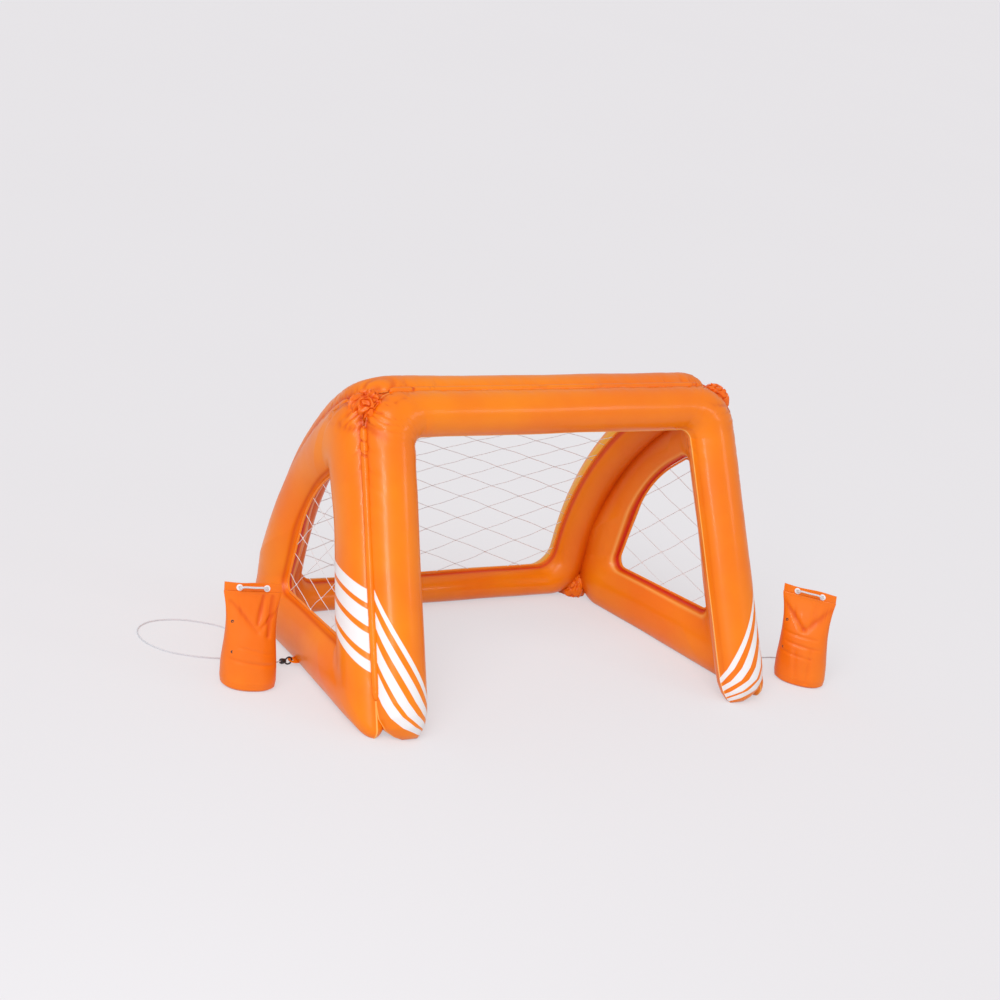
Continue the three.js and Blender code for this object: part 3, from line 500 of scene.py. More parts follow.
# %% [markdown]
# Four flat outlines rule the goal: the leaning arch, the two side frames and the bent
# back. Each panel is two sheets welded along an outer and an inner edge and blown up.
# So a panel is made as a row of oval sections between the two edges, set on the same
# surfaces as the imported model.

# %% Outline helpers
def unit(v):
    return v / np.linalg.norm(v)


def round_corner(before, corner, after, radius, steps):
    back, on = unit(before - corner), unit(after - corner)
    half = math.acos(np.clip(back @ on, -1, 1)) / 2
    centre = corner + unit(back + on) * radius / math.sin(half)
    start = corner + back * radius / math.tan(half) - centre
    turn = np.sign(on[0] * back[1] - on[1] * back[0]) * (math.pi - 2 * half)
    angles = turn * np.linspace(0, 1, steps + 1)
    cos, sin = np.cos(angles), np.sin(angles)
    return centre + np.stack([start[0] * cos - start[1] * sin, start[0] * sin + start[1] * cos], 1)


def drawn_in(corners, widths):
    count = len(corners)
    ats, alongs = [], []
    for i in range(count):
        along = unit(corners[(i + 1) % count] - corners[i])
        ats.append(corners[i] + np.array([-along[1], along[0]]) * widths[i])
        alongs.append(along)
    made = []
    for i in range(count):
        a, b = alongs[i - 1], alongs[i]
        apart = ats[i] - ats[i - 1]
        reach = (apart[0] * b[1] - apart[1] * b[0]) / (a[0] * b[1] - a[1] * b[0])
        made.append(ats[i - 1] + a * reach)
    return np.array(made)


def rounded(corners, radii, arc_steps, side_steps):
    count = len(corners)
    arcs = [
        round_corner(corners[i - 1], corners[i], corners[(i + 1) % count], radii[i], arc_steps[i])
        for i in range(count)
    ]
    parts = []
    for i, arc in enumerate(arcs):
        share = np.linspace(0, 1, side_steps[i] + 1)[1:-1, None]
        following = arcs[(i + 1) % count][0]
        parts += [arc, arc[-1] + (following - arc[-1]) * share]
    return np.vstack(parts)


# %% Panel surfaces
top_y, top_z = -0.004, 0.802
foot_x, foot_y = 0.660, -0.419
top_x = 0.621
rear_x, rear_y = 0.560, 0.385
press = 0.004
lean = (top_y - foot_y) / top_z
slope = math.hypot(1, lean)
arch_normal = unit(np.array([0, -1, lean]))
side_turn = (foot_x - rear_x) / (rear_y - foot_y)
side_tilt = (foot_x - top_x - side_turn * (top_y - foot_y)) / top_z


def seam_x(y, z):
    return foot_x - side_turn * (y - foot_y) - side_tilt * z


def on_arch(p):
    places = np.stack([p[:, 0], foot_y + lean * p[:, 1] / slope, p[:, 1] / slope], 1)
    return places, np.broadcast_to(arch_normal, places.shape)


def on_side(sign):
    normal = unit(np.array([sign, side_turn, side_tilt]))

    def place(p):
        places = np.stack([sign * seam_x(p[:, 0], p[:, 1]), p[:, 0], p[:, 1]], 1)
        return places, np.broadcast_to(normal, places.shape)
    return place


profile_corners = np.array([(top_y, top_z), (0.352, 0.516), (rear_y, -press)])
profile_arc = round_corner(*profile_corners, 0.78, 40)
profile = np.vstack([profile_corners[:1], profile_arc, profile_corners[2:]])
profile_run = run_along(profile)
profile_length = profile_run[-1]


def profile_at(v):
    v = np.clip(v, 0, profile_length)
    return np.interp(v, profile_run, profile[:, 0]), np.interp(v, profile_run, profile[:, 1])


def back_width(v):
    share = np.clip(v / profile_length, 0, 1)
    return top_x + (seam_x(rear_y, 0) - top_x) * share


def on_back(p, reach=0.02):
    """Places and normals on the bent back; the slope is taken over reach to each side."""
    y, z = profile_at(p[:, 1])
    middle = np.clip(p[:, 1], reach, profile_length - reach)
    near, far = profile_at(middle - reach), profile_at(middle + reach)
    dy, dz = far[0] - near[0], far[1] - near[1]
    size = np.hypot(dy, dz)
    normals = np.stack([np.zeros_like(y), -dz / size, dy / size], 1)
    return np.stack([p[:, 0] * seam_x(y, z) / back_width(p[:, 1]), y, z], 1), normals


print("profile length", round(profile_length, 3))

# %% [markdown]
# The welds pull the film together, so it puckers along every seam: sharp short folds
# square to the line, deep near the top corners and faint near the floor. The folds come
# from seeded random numbers along each seam and fade with the distance from it.

# %% Seams
def seam_line(points):
    line = np.array(points, float)
    run = run_along(line)
    at = np.arange(0, run[-1], 0.003)
    return np.stack([np.interp(at, run, line[:, k]) for k in range(3)], 1), at


def front_seam(sign):
    z = np.linspace(0, top_z, 60)
    y = foot_y + lean * z
    return seam_line(np.stack([sign * seam_x(y, z), y, z], 1))


def rear_seam(sign):
    y, z = profile[:, 0], profile[:, 1]
    return seam_line(np.stack([sign * seam_x(y, z), y, z], 1))


seams = {
    "left_front": front_seam(-1), "right_front": front_seam(1),
    "left_rear": rear_seam(-1), "right_rear": rear_seam(1),
    "top": seam_line([(-top_x, top_y, top_z), (top_x, top_y, top_z)]),
}


# %% Folds
def random_walk(t, wave, seed):
    """Smooth random numbers from -1 to 1, one about every wave of t."""
    values = np.random.default_rng(seed).uniform(-1, 1, 4000)
    x = np.asarray(t) / wave + 20
    i = np.floor(x).astype(int)
    f = x - i
    f = f * f * (3 - 2 * f)
    return values[i] * (1 - f) + values[i + 1] * f


def folds(t, wave, seed, sharp=0.3):
    """1 in the valley of a fold, 0 between the folds."""
    return np.exp(-(random_walk(t, wave, seed) / sharp) ** 2)


def seam_strength(name, points):
    height = points[:, 2]
    if name == "top":
        return 0.35 + 0.9 * np.clip((np.abs(points[:, 0]) - 0.3) / 0.3, 0, 1)
    rise = np.clip((height - 0.42) / 0.32, 0, 1)
    low = np.clip((0.16 - height) / 0.14, 0, 1) * (0.9 if "rear" in name else 0.2)
    return 0.16 + 1.1 * rise ** 1.6 + low


# Each kind of fold has the wave along the seam, the depth and the reach from the seam.
fine_wave, fine_depth, fine_reach = 0.0085, 0.0022, 0.022
coarse_wave, coarse_depth, coarse_reach = 0.024, 0.0040, 0.050
deepest = 0.0064


def puckers(points, inner):
    """How far the film is drawn in, in metres, how deep in a fold or groove it lies as painted
    shade, and the painted shade of the rear crevices.
    """
    depth = np.zeros(len(points))
    crease_shade = np.zeros(len(points))
    dim = np.zeros(len(points))
    for number, (name, (line, run)) in enumerate(seams.items()):
        near = np.full(len(points), 9.0)
        at = np.zeros(len(points))
        for start in range(0, len(points), 4000):
            part = points[start:start + 4000]
            apart = ((part[:, None] - line[None]) ** 2).sum(2)
            k = apart.argmin(1)
            near[start:start + 4000] = np.sqrt(apart[np.arange(len(part)), k])
            at[start:start + 4000] = run[k]
        strength = seam_strength(name, points)
        wander = at + 0.012 * random_walk(near, 0.02, number + 40) + 0.6 * near
        some = np.clip(0.55 + 0.9 * random_walk(at, 0.035, number + 80), 0, 1)
        fine = folds(wander, fine_wave, number, 0.28) * np.exp(-(near / fine_reach) ** 2) * some
        coarse = folds(wander, coarse_wave, number + 9, 0.24)
        coarse = coarse * np.exp(-(near / coarse_reach) ** 2)
        drawn = strength * (fine_depth * fine + coarse_depth * coarse)
        depth += drawn
        # The groove beside each seam gets painted shade, most of all on the inside of the rear.
        shut, wide = 0.25, 0.018
        if "rear" in name:
            shut, wide = 0.95, np.where(inner, 0.110, 0.030)
            dim = np.maximum(dim, inner * np.exp(-(near / 0.030) ** 2))
        if "front" in name:
            shut = shut + 0.6 * np.clip((points[:, 2] - 0.5) / 0.2, 0, 1)
        groove = shut * np.exp(-(near / wide) ** 2)
        crease_shade = np.maximum(crease_shade, np.clip(drawn / deepest, 0, 1))
        crease_shade = np.maximum(crease_shade, groove)
    return depth, crease_shade, dim


# %% Section and panel makers
half_turns = np.concatenate([
    np.radians([0, 1.6, 3.4, 6, 11]), np.linspace(math.radians(18), math.radians(162), 15),
    np.radians([169, 174, 176.6, 178.4]),
])
turns = np.concatenate([half_turns, half_turns + math.pi])
fin, edge_share = 0.0034, 0.05
unprinted = -0.02
lens_power = 1.06
ripple_depth, ripple_scale = 0.0022, 5.5


def panel(
    name, place, outer, inner, thickness, closed, seed, corner_folds, material, node,
    sunlit_share=0.0, rim=0.35, window_edge=(0.0, 0.0),
):
    """Oval sections between two edges, with a narrow weld fin on each edge."""
    middle = (outer + inner) / 2
    across = outer - inner
    half = np.linalg.norm(across, axis=1) / 2
    across = across / (2 * half[:, None])
    cos, sin = np.cos(turns), np.sin(turns)
    edge = np.exp(-(np.abs(sin) / edge_share) ** 2)
    lens = np.sign(sin) * np.abs(sin) ** lens_power
    reach = half[:, None] * cos[None] + fin * edge[None] * np.sign(cos)[None] * 0.5
    flat = middle[:, None] + across[:, None] * reach[..., None]
    places, normals = place(flat.reshape(-1, 2))
    lift = (thickness[:, None] / 2 * lens[None]).reshape(-1, 1)
    points = places + normals * lift
    rings = points.reshape(len(middle), len(turns), 3)
    if closed:
        ahead = np.roll(rings, -1, 0) - np.roll(rings, 1, 0)
    else:
        ahead = np.gradient(rings, axis=0)
    around = np.roll(rings, -1, 1) - np.roll(rings, 1, 1)
    out = np.cross(around, ahead)
    out /= np.linalg.norm(out, axis=2)[..., None] + 1e-12
    if ((rings - rings.mean(1, keepdims=True)) * out).sum() < 0:
        out = -out
    depth, crease_shade, dim = puckers(points, np.tile(sin < 0, len(middle)))
    shift = Vector((seed, 0, 0))
    soft = np.array([noise.noise(Vector(p * ripple_scale) + shift) for p in points])
    for centre, radius, wave, amount in corner_folds:
        gap = points - np.array(centre)
        angle = np.arctan2(gap[:, 2], np.hypot(gap[:, 0], gap[:, 1]) * np.sign(gap[:, 0] + 1e-9))
        off = np.linalg.norm(gap, axis=1)
        fade = np.exp(-((off - radius) / (radius * 0.9)) ** 2)
        extra = folds(angle * radius, wave, seed + int(radius * 1000)) * fade
        depth = depth + amount * extra
        # The pleats at the corners add painted shade in their valleys.
        crease_shade = np.maximum(crease_shade, 0.5 * extra * amount / 0.003)
    quiet = 1 - np.tile(edge, len(middle)) * 0.7
    inward = (depth * quiet + ripple_depth * soft).reshape(rings.shape[:2])
    moved = rings - out * inward[..., None]
    moved[..., 2] = np.maximum(moved[..., 2], 0.0)
    # The rest are the marks that the finish reads: the way across the outer sheet, the
    # painted shade of the folds, the painted shade and highlight beside the window, the
    # painted sunlit band, and the painted highlight along the welds.
    step = np.linalg.norm(np.diff(rings, axis=1), axis=2)
    run = np.concatenate([np.zeros((len(middle), 1)), np.cumsum(step, axis=1)], 1)
    outer_sheet = np.arange(len(turns)) <= len(turns) // 2
    # The film turning under beside the window gets painted shade.
    turned_under_shade = rim * np.exp(-(((np.abs(sin) - 0.3) / 0.16) ** 2)) * (cos < 0)
    crease_shade = np.maximum(crease_shade.reshape(rings.shape[:2]), turned_under_shade[None])
    # The inner half of the outer sheet carries a painted sunlit band, on the back only.
    inner_side = (sin > 0.01) * np.clip(-cos * 5 - 3.6, 0, 1)
    # Beside the windows the edge gets a band of painted shade, and on the side frames a line of
    # painted highlight; the painted weld highlight is weaker along the shaded edge.
    shaded, lit = window_edge
    under = (cos < 0) * (sin < 0)
    edge_dim = shaded * under * np.exp(-((np.abs(sin) - 0.16) / 0.15) ** 2)
    edge_lit = lit * under * np.exp(-((np.abs(sin) - 0.5) / 0.1) ** 2)
    weld = edge * (1 - 0.7 * shaded * (cos < 0)) + edge_lit
    marks = {
        "weld": np.repeat(weld[None], len(middle), 0),
        "dim": np.maximum(dim.reshape(rings.shape[:2]), edge_dim[None]),
        "crease_shade": crease_shade, "across": np.where(outer_sheet, run, unprinted),
        "painted_sunlit_band": np.repeat(sunlit_share * inner_side[None], len(middle), 0),
    }
    obj = rolled(name, moved, closed, marks)
    obj.data.materials.append(material)
    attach(obj, "goal")
    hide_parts(node)
    print(name, len(obj.data.polygons), "faces")


def swell(thickness, width, standard):
    return thickness * np.clip(np.sqrt(width / standard), 0.9, 1.22)


# %% [markdown]
# The front arch is one U-shaped chamber: two posts and the crossbar. Its feet narrow to
# a flattened tip that rests on the floor.

# %% Front arch
arch_top = top_z * slope
post_width, crossbar_width, arch_thickness = 0.150, 0.122, 0.118
foot_length = 0.095


def arch_edge(s):
    return foot_x + (top_x - foot_x) * s / arch_top


def arch_stations():
    shares = np.linspace(0, 1, 20)
    widths = np.interp(shares, [0, 0.1, 0.32, 0.64, 1], [0.3, 0.52, 0.78, 0.95, 1])
    thicks = np.interp(shares, [0, 0.1, 0.32, 0.64, 1], [0.2, 0.46, 0.76, 0.95, 1])
    s = shares * foot_length
    lost = post_width * (1 - widths)
    outer = np.stack([arch_edge(s) - lost * 0.72, s], 1)
    inner = np.stack([arch_edge(s) - post_width + lost * 0.28, s], 1)
    thickness = arch_thickness * thicks
    foot = np.array([foot_x, 0.0])
    corner = np.array([arch_edge(arch_top), arch_top])
    inner_top = arch_top - crossbar_width
    inner_corner = np.array([arch_edge(inner_top) - post_width, inner_top])
    centre, inner_centre = np.array([0, arch_top]), np.array([0, inner_top])
    outer_arc = round_corner(foot, corner, centre, 0.118, 40)
    inner_arc = round_corner(foot - [post_width, 0], inner_corner, inner_centre, 0.034, 40)
    share = np.linspace(0, 1, 111)[1:-1, None]
    outer = np.vstack([outer, outer[-1] + (outer_arc[0] - outer[-1]) * share, outer_arc])
    inner = np.vstack([inner, inner[-1] + (inner_arc[0] - inner[-1]) * share, inner_arc])
    share = np.linspace(0, 1, 101)[1:, None]
    outer = np.vstack([outer, outer_arc[-1] + (centre - outer_arc[-1]) * share])
    inner = np.vstack([inner, inner_arc[-1] + (inner_centre - inner_arc[-1]) * share])
    width = np.linalg.norm(outer - inner, axis=1)
    rest = swell(arch_thickness, width[20:], post_width)
    level = np.interp(np.arange(len(rest)), [0, 90, 110, len(rest)], [0, 0, 1, 1])
    thickness = np.concatenate([thickness, arch_thickness + (rest - arch_thickness) * level])
    flip = np.array([-1, 1])
    outer = np.vstack([outer, (outer[:-1] * flip)[::-1]])
    inner = np.vstack([inner, (inner[:-1] * flip)[::-1]])
    return outer, inner, np.concatenate([thickness, thickness[:-1][::-1]])


arch_outer, arch_inner, arch_thick = arch_stations()
# Each fan of pleats has a centre, a radius, the wave of its folds and their depth.
inner_corners = [((sign * 0.452, -0.075, 0.665), 0.05, 0.011, 0.0016) for sign in (-1, 1)]
top_pleats = [((sign * 0.587, 0.002, 0.752), 0.072, 0.010, 0.0034) for sign in (-1, 1)]
panel(
    "front_arch_panel", on_arch, arch_outer, arch_inner, arch_thick, False, 1,
    inner_corners + top_pleats, post_vinyl, "front_arch",
)

# %% [markdown]
# A side frame is a three-cornered ring: a front bar against the post, a sloping rail
# against the back frame, and a broad bottom bar.

# %% Side frames
side_corners = np.array([(foot_y, -press), (rear_y, -press), (0.352, 0.516), (top_y, top_z)])
side_widths = (0.168, 0.126, 0.126, 0.158)
window_guide = side_corners + [(0, 0), (0, -0.032), (-0.042, -0.022), (0, 0)]
window_corners = drawn_in(window_guide, side_widths)
ring_arcs, ring_sides = (26, 40, 60, 30), (120, 60, 60, 130)
side_outer = rounded(side_corners, (0.024, 0.120, 0.78, 0.062), ring_arcs, ring_sides)
window_radii = (0.020, 0.034, 0.330, 0.022)
side_inner = rounded(window_corners, window_radii, ring_arcs, ring_sides)
side_width = np.linalg.norm(side_outer - side_inner, axis=1)
for sign, side in ((-1, "left"), (1, "right")):
    panel(
        side + "_side_panel", on_side(sign), side_outer, side_inner,
        swell(0.090, side_width, 0.158), True, 3 + sign, top_pleats,
        side_vinyl, side + "_side_frame", rim=0.62, window_edge=(0.95, 0.55),
    )

# %% [markdown]
# The back frame is a four-cornered ring that bends over from the crossbar to the floor.

# %% Back frame
back_foot = back_width(profile_length)
back_corners = np.array([
    (-top_x, 0), (top_x, 0), (back_foot, profile_length), (-back_foot, profile_length),
])
back_widths = (0.118, 0.112, 0.088, 0.112)
back_window = drawn_in(back_corners, back_widths)
back_arcs, back_sides = (36,) * 4, (170, 120, 160, 120)
back_outer = rounded(back_corners, (0.112,) * 4, back_arcs, back_sides)
back_inner = rounded(back_window, (0.058,) * 4, back_arcs, back_sides)
bar = np.clip(back_outer[:, 1] / 0.236, 0, 1)
bar = 0.9 + 0.1 * bar * bar * (3 - 2 * bar)
back_thick = bar * swell(0.120, np.linalg.norm(back_outer - back_inner, axis=1), 0.112)
panel(
    "back_panel", on_back, back_outer, back_inner, back_thick, True, 8, top_pleats,
    plain_vinyl, "back_frame", sunlit_share=0.9, window_edge=(0.7, 0.0),
)

# %% [markdown]
# Along each seam the two films end in one narrow welded strip. Blown up, it gathers into
# a ruffled cord of vinyl in the groove. Each strip is a tube whose sections swell and
# shrink at random, more so near the top.

# %% Weld strips
weld_radius, weld_spacing = 0.0108, 0.0022


def weld_strip(name, start, end, seed):
    line = seams[name][0]
    run = run_along(line)
    at = np.arange(start, run[-1] - end, weld_spacing)
    path = np.stack([np.interp(at, run, line[:, k]) for k in range(3)], 1)
    strength = np.clip(seam_strength(name, path), 0.15, 1.3)
    skew = at[:, None] + 0.004 * np.sin(2 * full_turn(18) + seed)[None]
    some = np.clip(0.5 + random_walk(at, 0.02, seed + 30), 0, 1)[:, None]
    valley = folds(skew, 0.009, seed + 70, 0.3) * some
    ends = np.clip(np.minimum(at - start, at[-1] - at) / 0.02, 0, 1) ** 0.5
    radii = weld_radius * (1 - 0.24 * strength[:, None] * valley) * (0.35 + 0.65 * ends[:, None])
    # The valleys of the strip carry painted shade.
    marks = {"crease_shade": valley * np.clip(strength, 0, 1)[:, None] * 0.9, "weld": valley * 0}
    strip = rolled(name + "_weld_strip", tube_rings(path, radii, 18), False, marks)
    strip.data.materials.append(plain_vinyl)
    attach(strip, "goal")
    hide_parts(name + "_weld")


for side in ("left", "right"):
    weld_strip(side + "_front", 0.108, 0.088, 5)
    weld_strip(side + "_rear", 0.078, 0.096, 6)
weld_strip("top", 0.084, 0.084, 7)
print("weld strips made")

# %% [markdown]
# Where three panels meet, the loose film crumples. Each gusset starts as a ball, is
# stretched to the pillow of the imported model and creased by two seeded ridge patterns,
# a coarse one of sharp ridges and a fine one of narrow valleys.

# %% Gussets
def bent_noise(spot, scale, bend_scale, bend):
    """Noise of a place that another noise has bent, so that its ridges wander."""
    return abs(noise.noise(spot * scale + noise.noise_vector(spot * bend_scale) * bend))


def crumple(name, centre, radii, node, seed, depth):
    ball = added(bpy.ops.mesh.primitive_ico_sphere_add, subdivisions=7, radius=1)
    ball.name = ball.data.name = name
    p = points_of(ball)
    size = np.array(radii)
    drawn = np.empty(len(p))
    for i, q in enumerate(p * size):
        spot = Vector(q * (1, 1, 0.6)) + Vector((seed, 0, 0))
        ridge = min(1, 2.4 * bent_noise(spot, 30, 22, 0.8))
        valley = max(0, 1 - 4.5 * bent_noise(spot, 56, 30, 1.2))
        drawn[i] = 0.6 * ridge + 0.5 * valley
    moved = p * (size - depth * drawn[:, None]) + np.array(centre)
    moved[:, 2] = np.maximum(moved[:, 2], 0.0004)
    move_points(ball, moved)
    # The crumple depth is kept as painted shade.
    mark(ball, "crease_shade", drawn)
    mark(ball, "weld", drawn * 0)
    bpy.ops.object.shade_smooth()
    ball.data.materials.append(dark_vinyl)
    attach(ball, "goal")
    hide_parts(node)


for sign, side in ((-1, "left"), (1, "right")):
    crumple(side + "_top_crumple", (sign * 0.587, 0.002, 0.752), (0.058, 0.052, 0.053),
            side + "_top_gusset", 3 + sign, 0.014)
    crumple(side + "_rear_crumple", (sign * 0.534, 0.359, 0.024), (0.046, 0.052, 0.058),
            side + "_rear_gusset", 7 + sign, 0.010)
print("gussets crumpled")

# %% [markdown]
# The nets are white twine in a slanted diamond mesh of 6 to 10 cm, tied with a knot at
# each crossing and laced to a hem round the window. Two families of strands make it. Each
# family has a direction in degrees, a pitch, and the distance of one of its strands from
# the corner where the panel's own coordinates begin. All strands lie on the panel's
# surface, bend a little between their knots and pass over and under each other.

# %% Net helpers
strand_radius, hem_radius = 0.0009, 0.0030
strand_lift, strand_sway = 0.0009, 0.0016
mesh_of = {
    "left": ((-48.1, 0.0951, 0.2481), (13.7, 0.0637, 0.3237)),
    "right": ((-43.2, 0.0869, 0.2316), (15.1, 0.0748, 0.2967)),
    "back": ((20.4, 0.0663, 0.5388), (-18.3, 0.0800, 0.4110)),
}


def inside(polygon, p):
    x, y = p
    hit = False
    for a, b in zip(polygon, np.roll(polygon, -1, 0)):
        if (a[1] > y) != (b[1] > y) and x < a[0] + (y - a[1]) * (b[0] - a[0]) / (b[1] - a[1]):
            hit = not hit
    return hit


def crossings(polygon, origin, direction):
    """Where a line enters and leaves the polygon, as lengths along it."""
    normal = np.array([-direction[1], direction[0]])
    side = (polygon - origin) @ normal
    run = (polygon - origin) @ direction
    found = []
    for i in range(len(polygon)):
        j = (i + 1) % len(polygon)
        if side[i] * side[j] < 0:
            f = side[i] / (side[i] - side[j])
            found.append(run[i] + f * (run[j] - run[i]))
    return sorted(found)


def family(edge, angle, pitch, first):
    """The direction and normal of one family, its pitch and the offsets of its strands."""
    turn = math.radians(angle)
    direction = np.array([math.cos(turn), math.sin(turn)])
    normal = np.array([-direction[1], direction[0]])
    reach = (edge @ normal - first) / pitch
    offsets = first + pitch * np.arange(math.ceil(reach.min()), math.floor(reach.max()) + 1)
    return direction, normal, pitch, offsets


# %% Net maker
def make_net(name, place, edge, node, seed, mesh):
    rng = np.random.default_rng(seed)
    families = [family(edge, *values) for values in mesh]
    pieces = []
    for which, (direction, normal, _, offsets) in enumerate(families):
        _, other, other_pitch, other_offsets = families[1 - which]
        for offset in offsets:
            origin = normal * offset
            ends = crossings(edge, origin, direction)
            if len(ends) < 2 or ends[-1] - ends[0] < 0.012:
                continue
            steps = max(3, int((ends[-1] - ends[0]) / 0.010))
            flat = origin + direction * np.linspace(ends[0], ends[-1], steps)[:, None]
            phase = (flat @ other - other_offsets[0]) / other_pitch
            sway = normal * strand_sway * np.sin(phase * math.pi)[:, None]
            places, normals = place(flat + sway * rng.uniform(0.2, 1))
            lift = (strand_lift if which else -strand_lift) * np.cos(phase * math.pi * 2)
            line = places + normals * lift[:, None]
            tube = tube_rings(line, strand_radius, 7)
            pieces.append(rolled("strand", tube, False, twine_marks(line, 7)))
    hem, _ = place(edge)
    marks = dict(twine_marks(hem, 10), hem=np.ones((len(hem), 10)))
    pieces.append(rolled("hem", tube_rings(hem, hem_radius, 10, True), True, marks))
    knots = knot_places(edge, families, place)
    pieces += [tied_knot(at, turn) for at, turn in knots]
    net = joined(pieces)
    net.name = net.data.name = name
    net.data.materials.clear()
    net.data.materials.append(net_twine)
    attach(net, "goal")
    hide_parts(node)
    print(name, len(knots), "knots")


def knot_places(edge, families, place):
    rows = np.array([families[0][1], families[1][1]])
    found = []
    for a in families[0][3]:
        for b in families[1][3]:
            spot = np.linalg.solve(rows, np.array([a, b]))
            if inside(edge, spot):
                found.append(spot)
    places, normals = place(np.array(found))
    return list(zip(places, normals))


# %% Knots
knot_pattern = added(bpy.ops.mesh.primitive_ico_sphere_add, subdivisions=1, radius=0.0026)
knot_shape = points_of(knot_pattern) * (1.25, 1.0, 0.8)
for label in ("along", "around"):
    knot_pattern.data.attributes.new(label, "FLOAT", "POINT")


def tied_knot(at, normal):
    made = knot_pattern.copy()
    made.data = knot_pattern.data.copy()
    bpy.context.scene.collection.objects.link(made)
    turn = np.array(Vector(normal).to_track_quat("Z", "Y").to_matrix())
    move_points(made, knot_shape @ turn.T + at)
    return made


# %% Make the nets
hem_inset = 0.0045


def edge_of(corners, radii, arcs, sides):
    moved = drawn_in(corners, (hem_inset,) * len(corners))
    return rounded(moved, [radius - hem_inset for radius in radii], arcs, sides)


coarse_arcs, coarse_sides = (8, 8, 14, 8), (24, 12, 12, 24)
side_edge = edge_of(window_corners, window_radii, coarse_arcs, coarse_sides)
back_edge = edge_of(back_window, (0.058,) * 4, (9,) * 4, (40, 30, 40, 30))
make_net("left_net_twine", on_side(-1), side_edge, "left_net", 1, mesh_of["left"])
make_net("right_net_twine", on_side(1), side_edge, "right_net", 2, mesh_of["right"])
make_net("back_net_twine", on_back, back_edge, "back_net", 3, mesh_of["back"])
bpy.data.objects.remove(knot_pattern)

# %% [markdown]
# A ballast bag is a soft sleeve of the same vinyl, filled below and pressed flat at the
# top, where it is folded over and holds two eyelets with a handle between them. Its
# sides pull in, a slack fold runs from the top corner, and level creases cross the front.

# %% Bag sizes
bag_height = 0.260
foot_width, foot_depth = 0.150, 0.112
fold_width, fold_depth = 0.158, 0.008
bag_levels = [0, 0.025, 0.09, 0.25, 0.42, 0.58, 0.72, 0.85, 0.94, 1]
bag_wide = [0.86, 0.97, 1, 0.98, 0.92, 0.88, 0.88, 0.92, 0.97, 1]
bag_pinch = [0, 0, 0, 0.04, 0.14, 0.34, 0.58, 0.82, 0.96, 1]
bag_deep = [0.82, 0.96, 1, 1, 1, 1, 1, 1, 1, 1]
bags = {"left": ((-0.830, -0.036), -14.0), "right": ((0.874, -0.334), -46.0)}
bag_lean, bag_lean_heading = 28 / 260, 140


def bag_matrix(name):
    (x, y), turn = bags[name]
    tip = math.radians(bag_lean_heading - turn)
    shear = Matrix.Identity(4)
    shear[0][2] = bag_lean * math.cos(tip)
    shear[1][2] = bag_lean * math.sin(tip)
    return Matrix.Translation((x, y, 0)) @ Matrix.Rotation(math.radians(turn), 4, "Z") @ shear


def near_line(p, start, end, width):
    """1 on the line from start to end on the bag's front, falling off over width."""
    start, end = np.array(start), np.array(end)
    along = end - start
    share = np.clip(((p - start) @ along) / (along @ along), 0, 1)
    gap = np.linalg.norm(p - start - share[..., None] * along, axis=-1)
    return np.exp(-(gap / width) ** 2)


# %% Bag folds
# Each has its start and end on the front as (across, up), its width and its depth.
bag_folds = {
    "left": [
        ((-0.060, 0.235), (0.010, 0.160), 0.007, 0.005),
        ((0.030, 0.250), (0.012, 0.180), 0.006, 0.007),
        ((0.055, 0.250), (0.040, 0.150), 0.007, 0.008),
        ((0.072, 0.215), (0.020, 0.170), 0.005, 0.005),
        ((-0.060, 0.085), (0.055, 0.072), 0.005, 0.0030),
        ((-0.040, 0.120), (0.060, 0.100), 0.004, 0.002),
    ],
    "right": [
        ((-0.072, 0.236), (-0.006, 0.168), 0.007, 0.007),
        ((0.070, 0.238), (0.000, 0.166), 0.008, 0.004),
        ((-0.060, 0.150), (0.040, 0.146), 0.004, 0.0028),
        ((-0.050, 0.124), (0.050, 0.118), 0.004, 0.0030),
        ((-0.020, 0.104), (-0.010, 0.012), 0.006, 0.0026),
        ((0.026, 0.110), (0.022, 0.016), 0.007, 0.0026),
        ((-0.060, 0.094), (0.030, 0.088), 0.004, 0.0024),
    ],
}
behind_share, gather_depth, deepest_bag_fold = 0.8, 0.004, 0.009
soft_pad = 6
soft_kernel = np.hanning(13) / np.hanning(13).sum()


def softened(values):
    return np.convolve(np.pad(values, soft_pad, mode="edge"), soft_kernel, "valid")


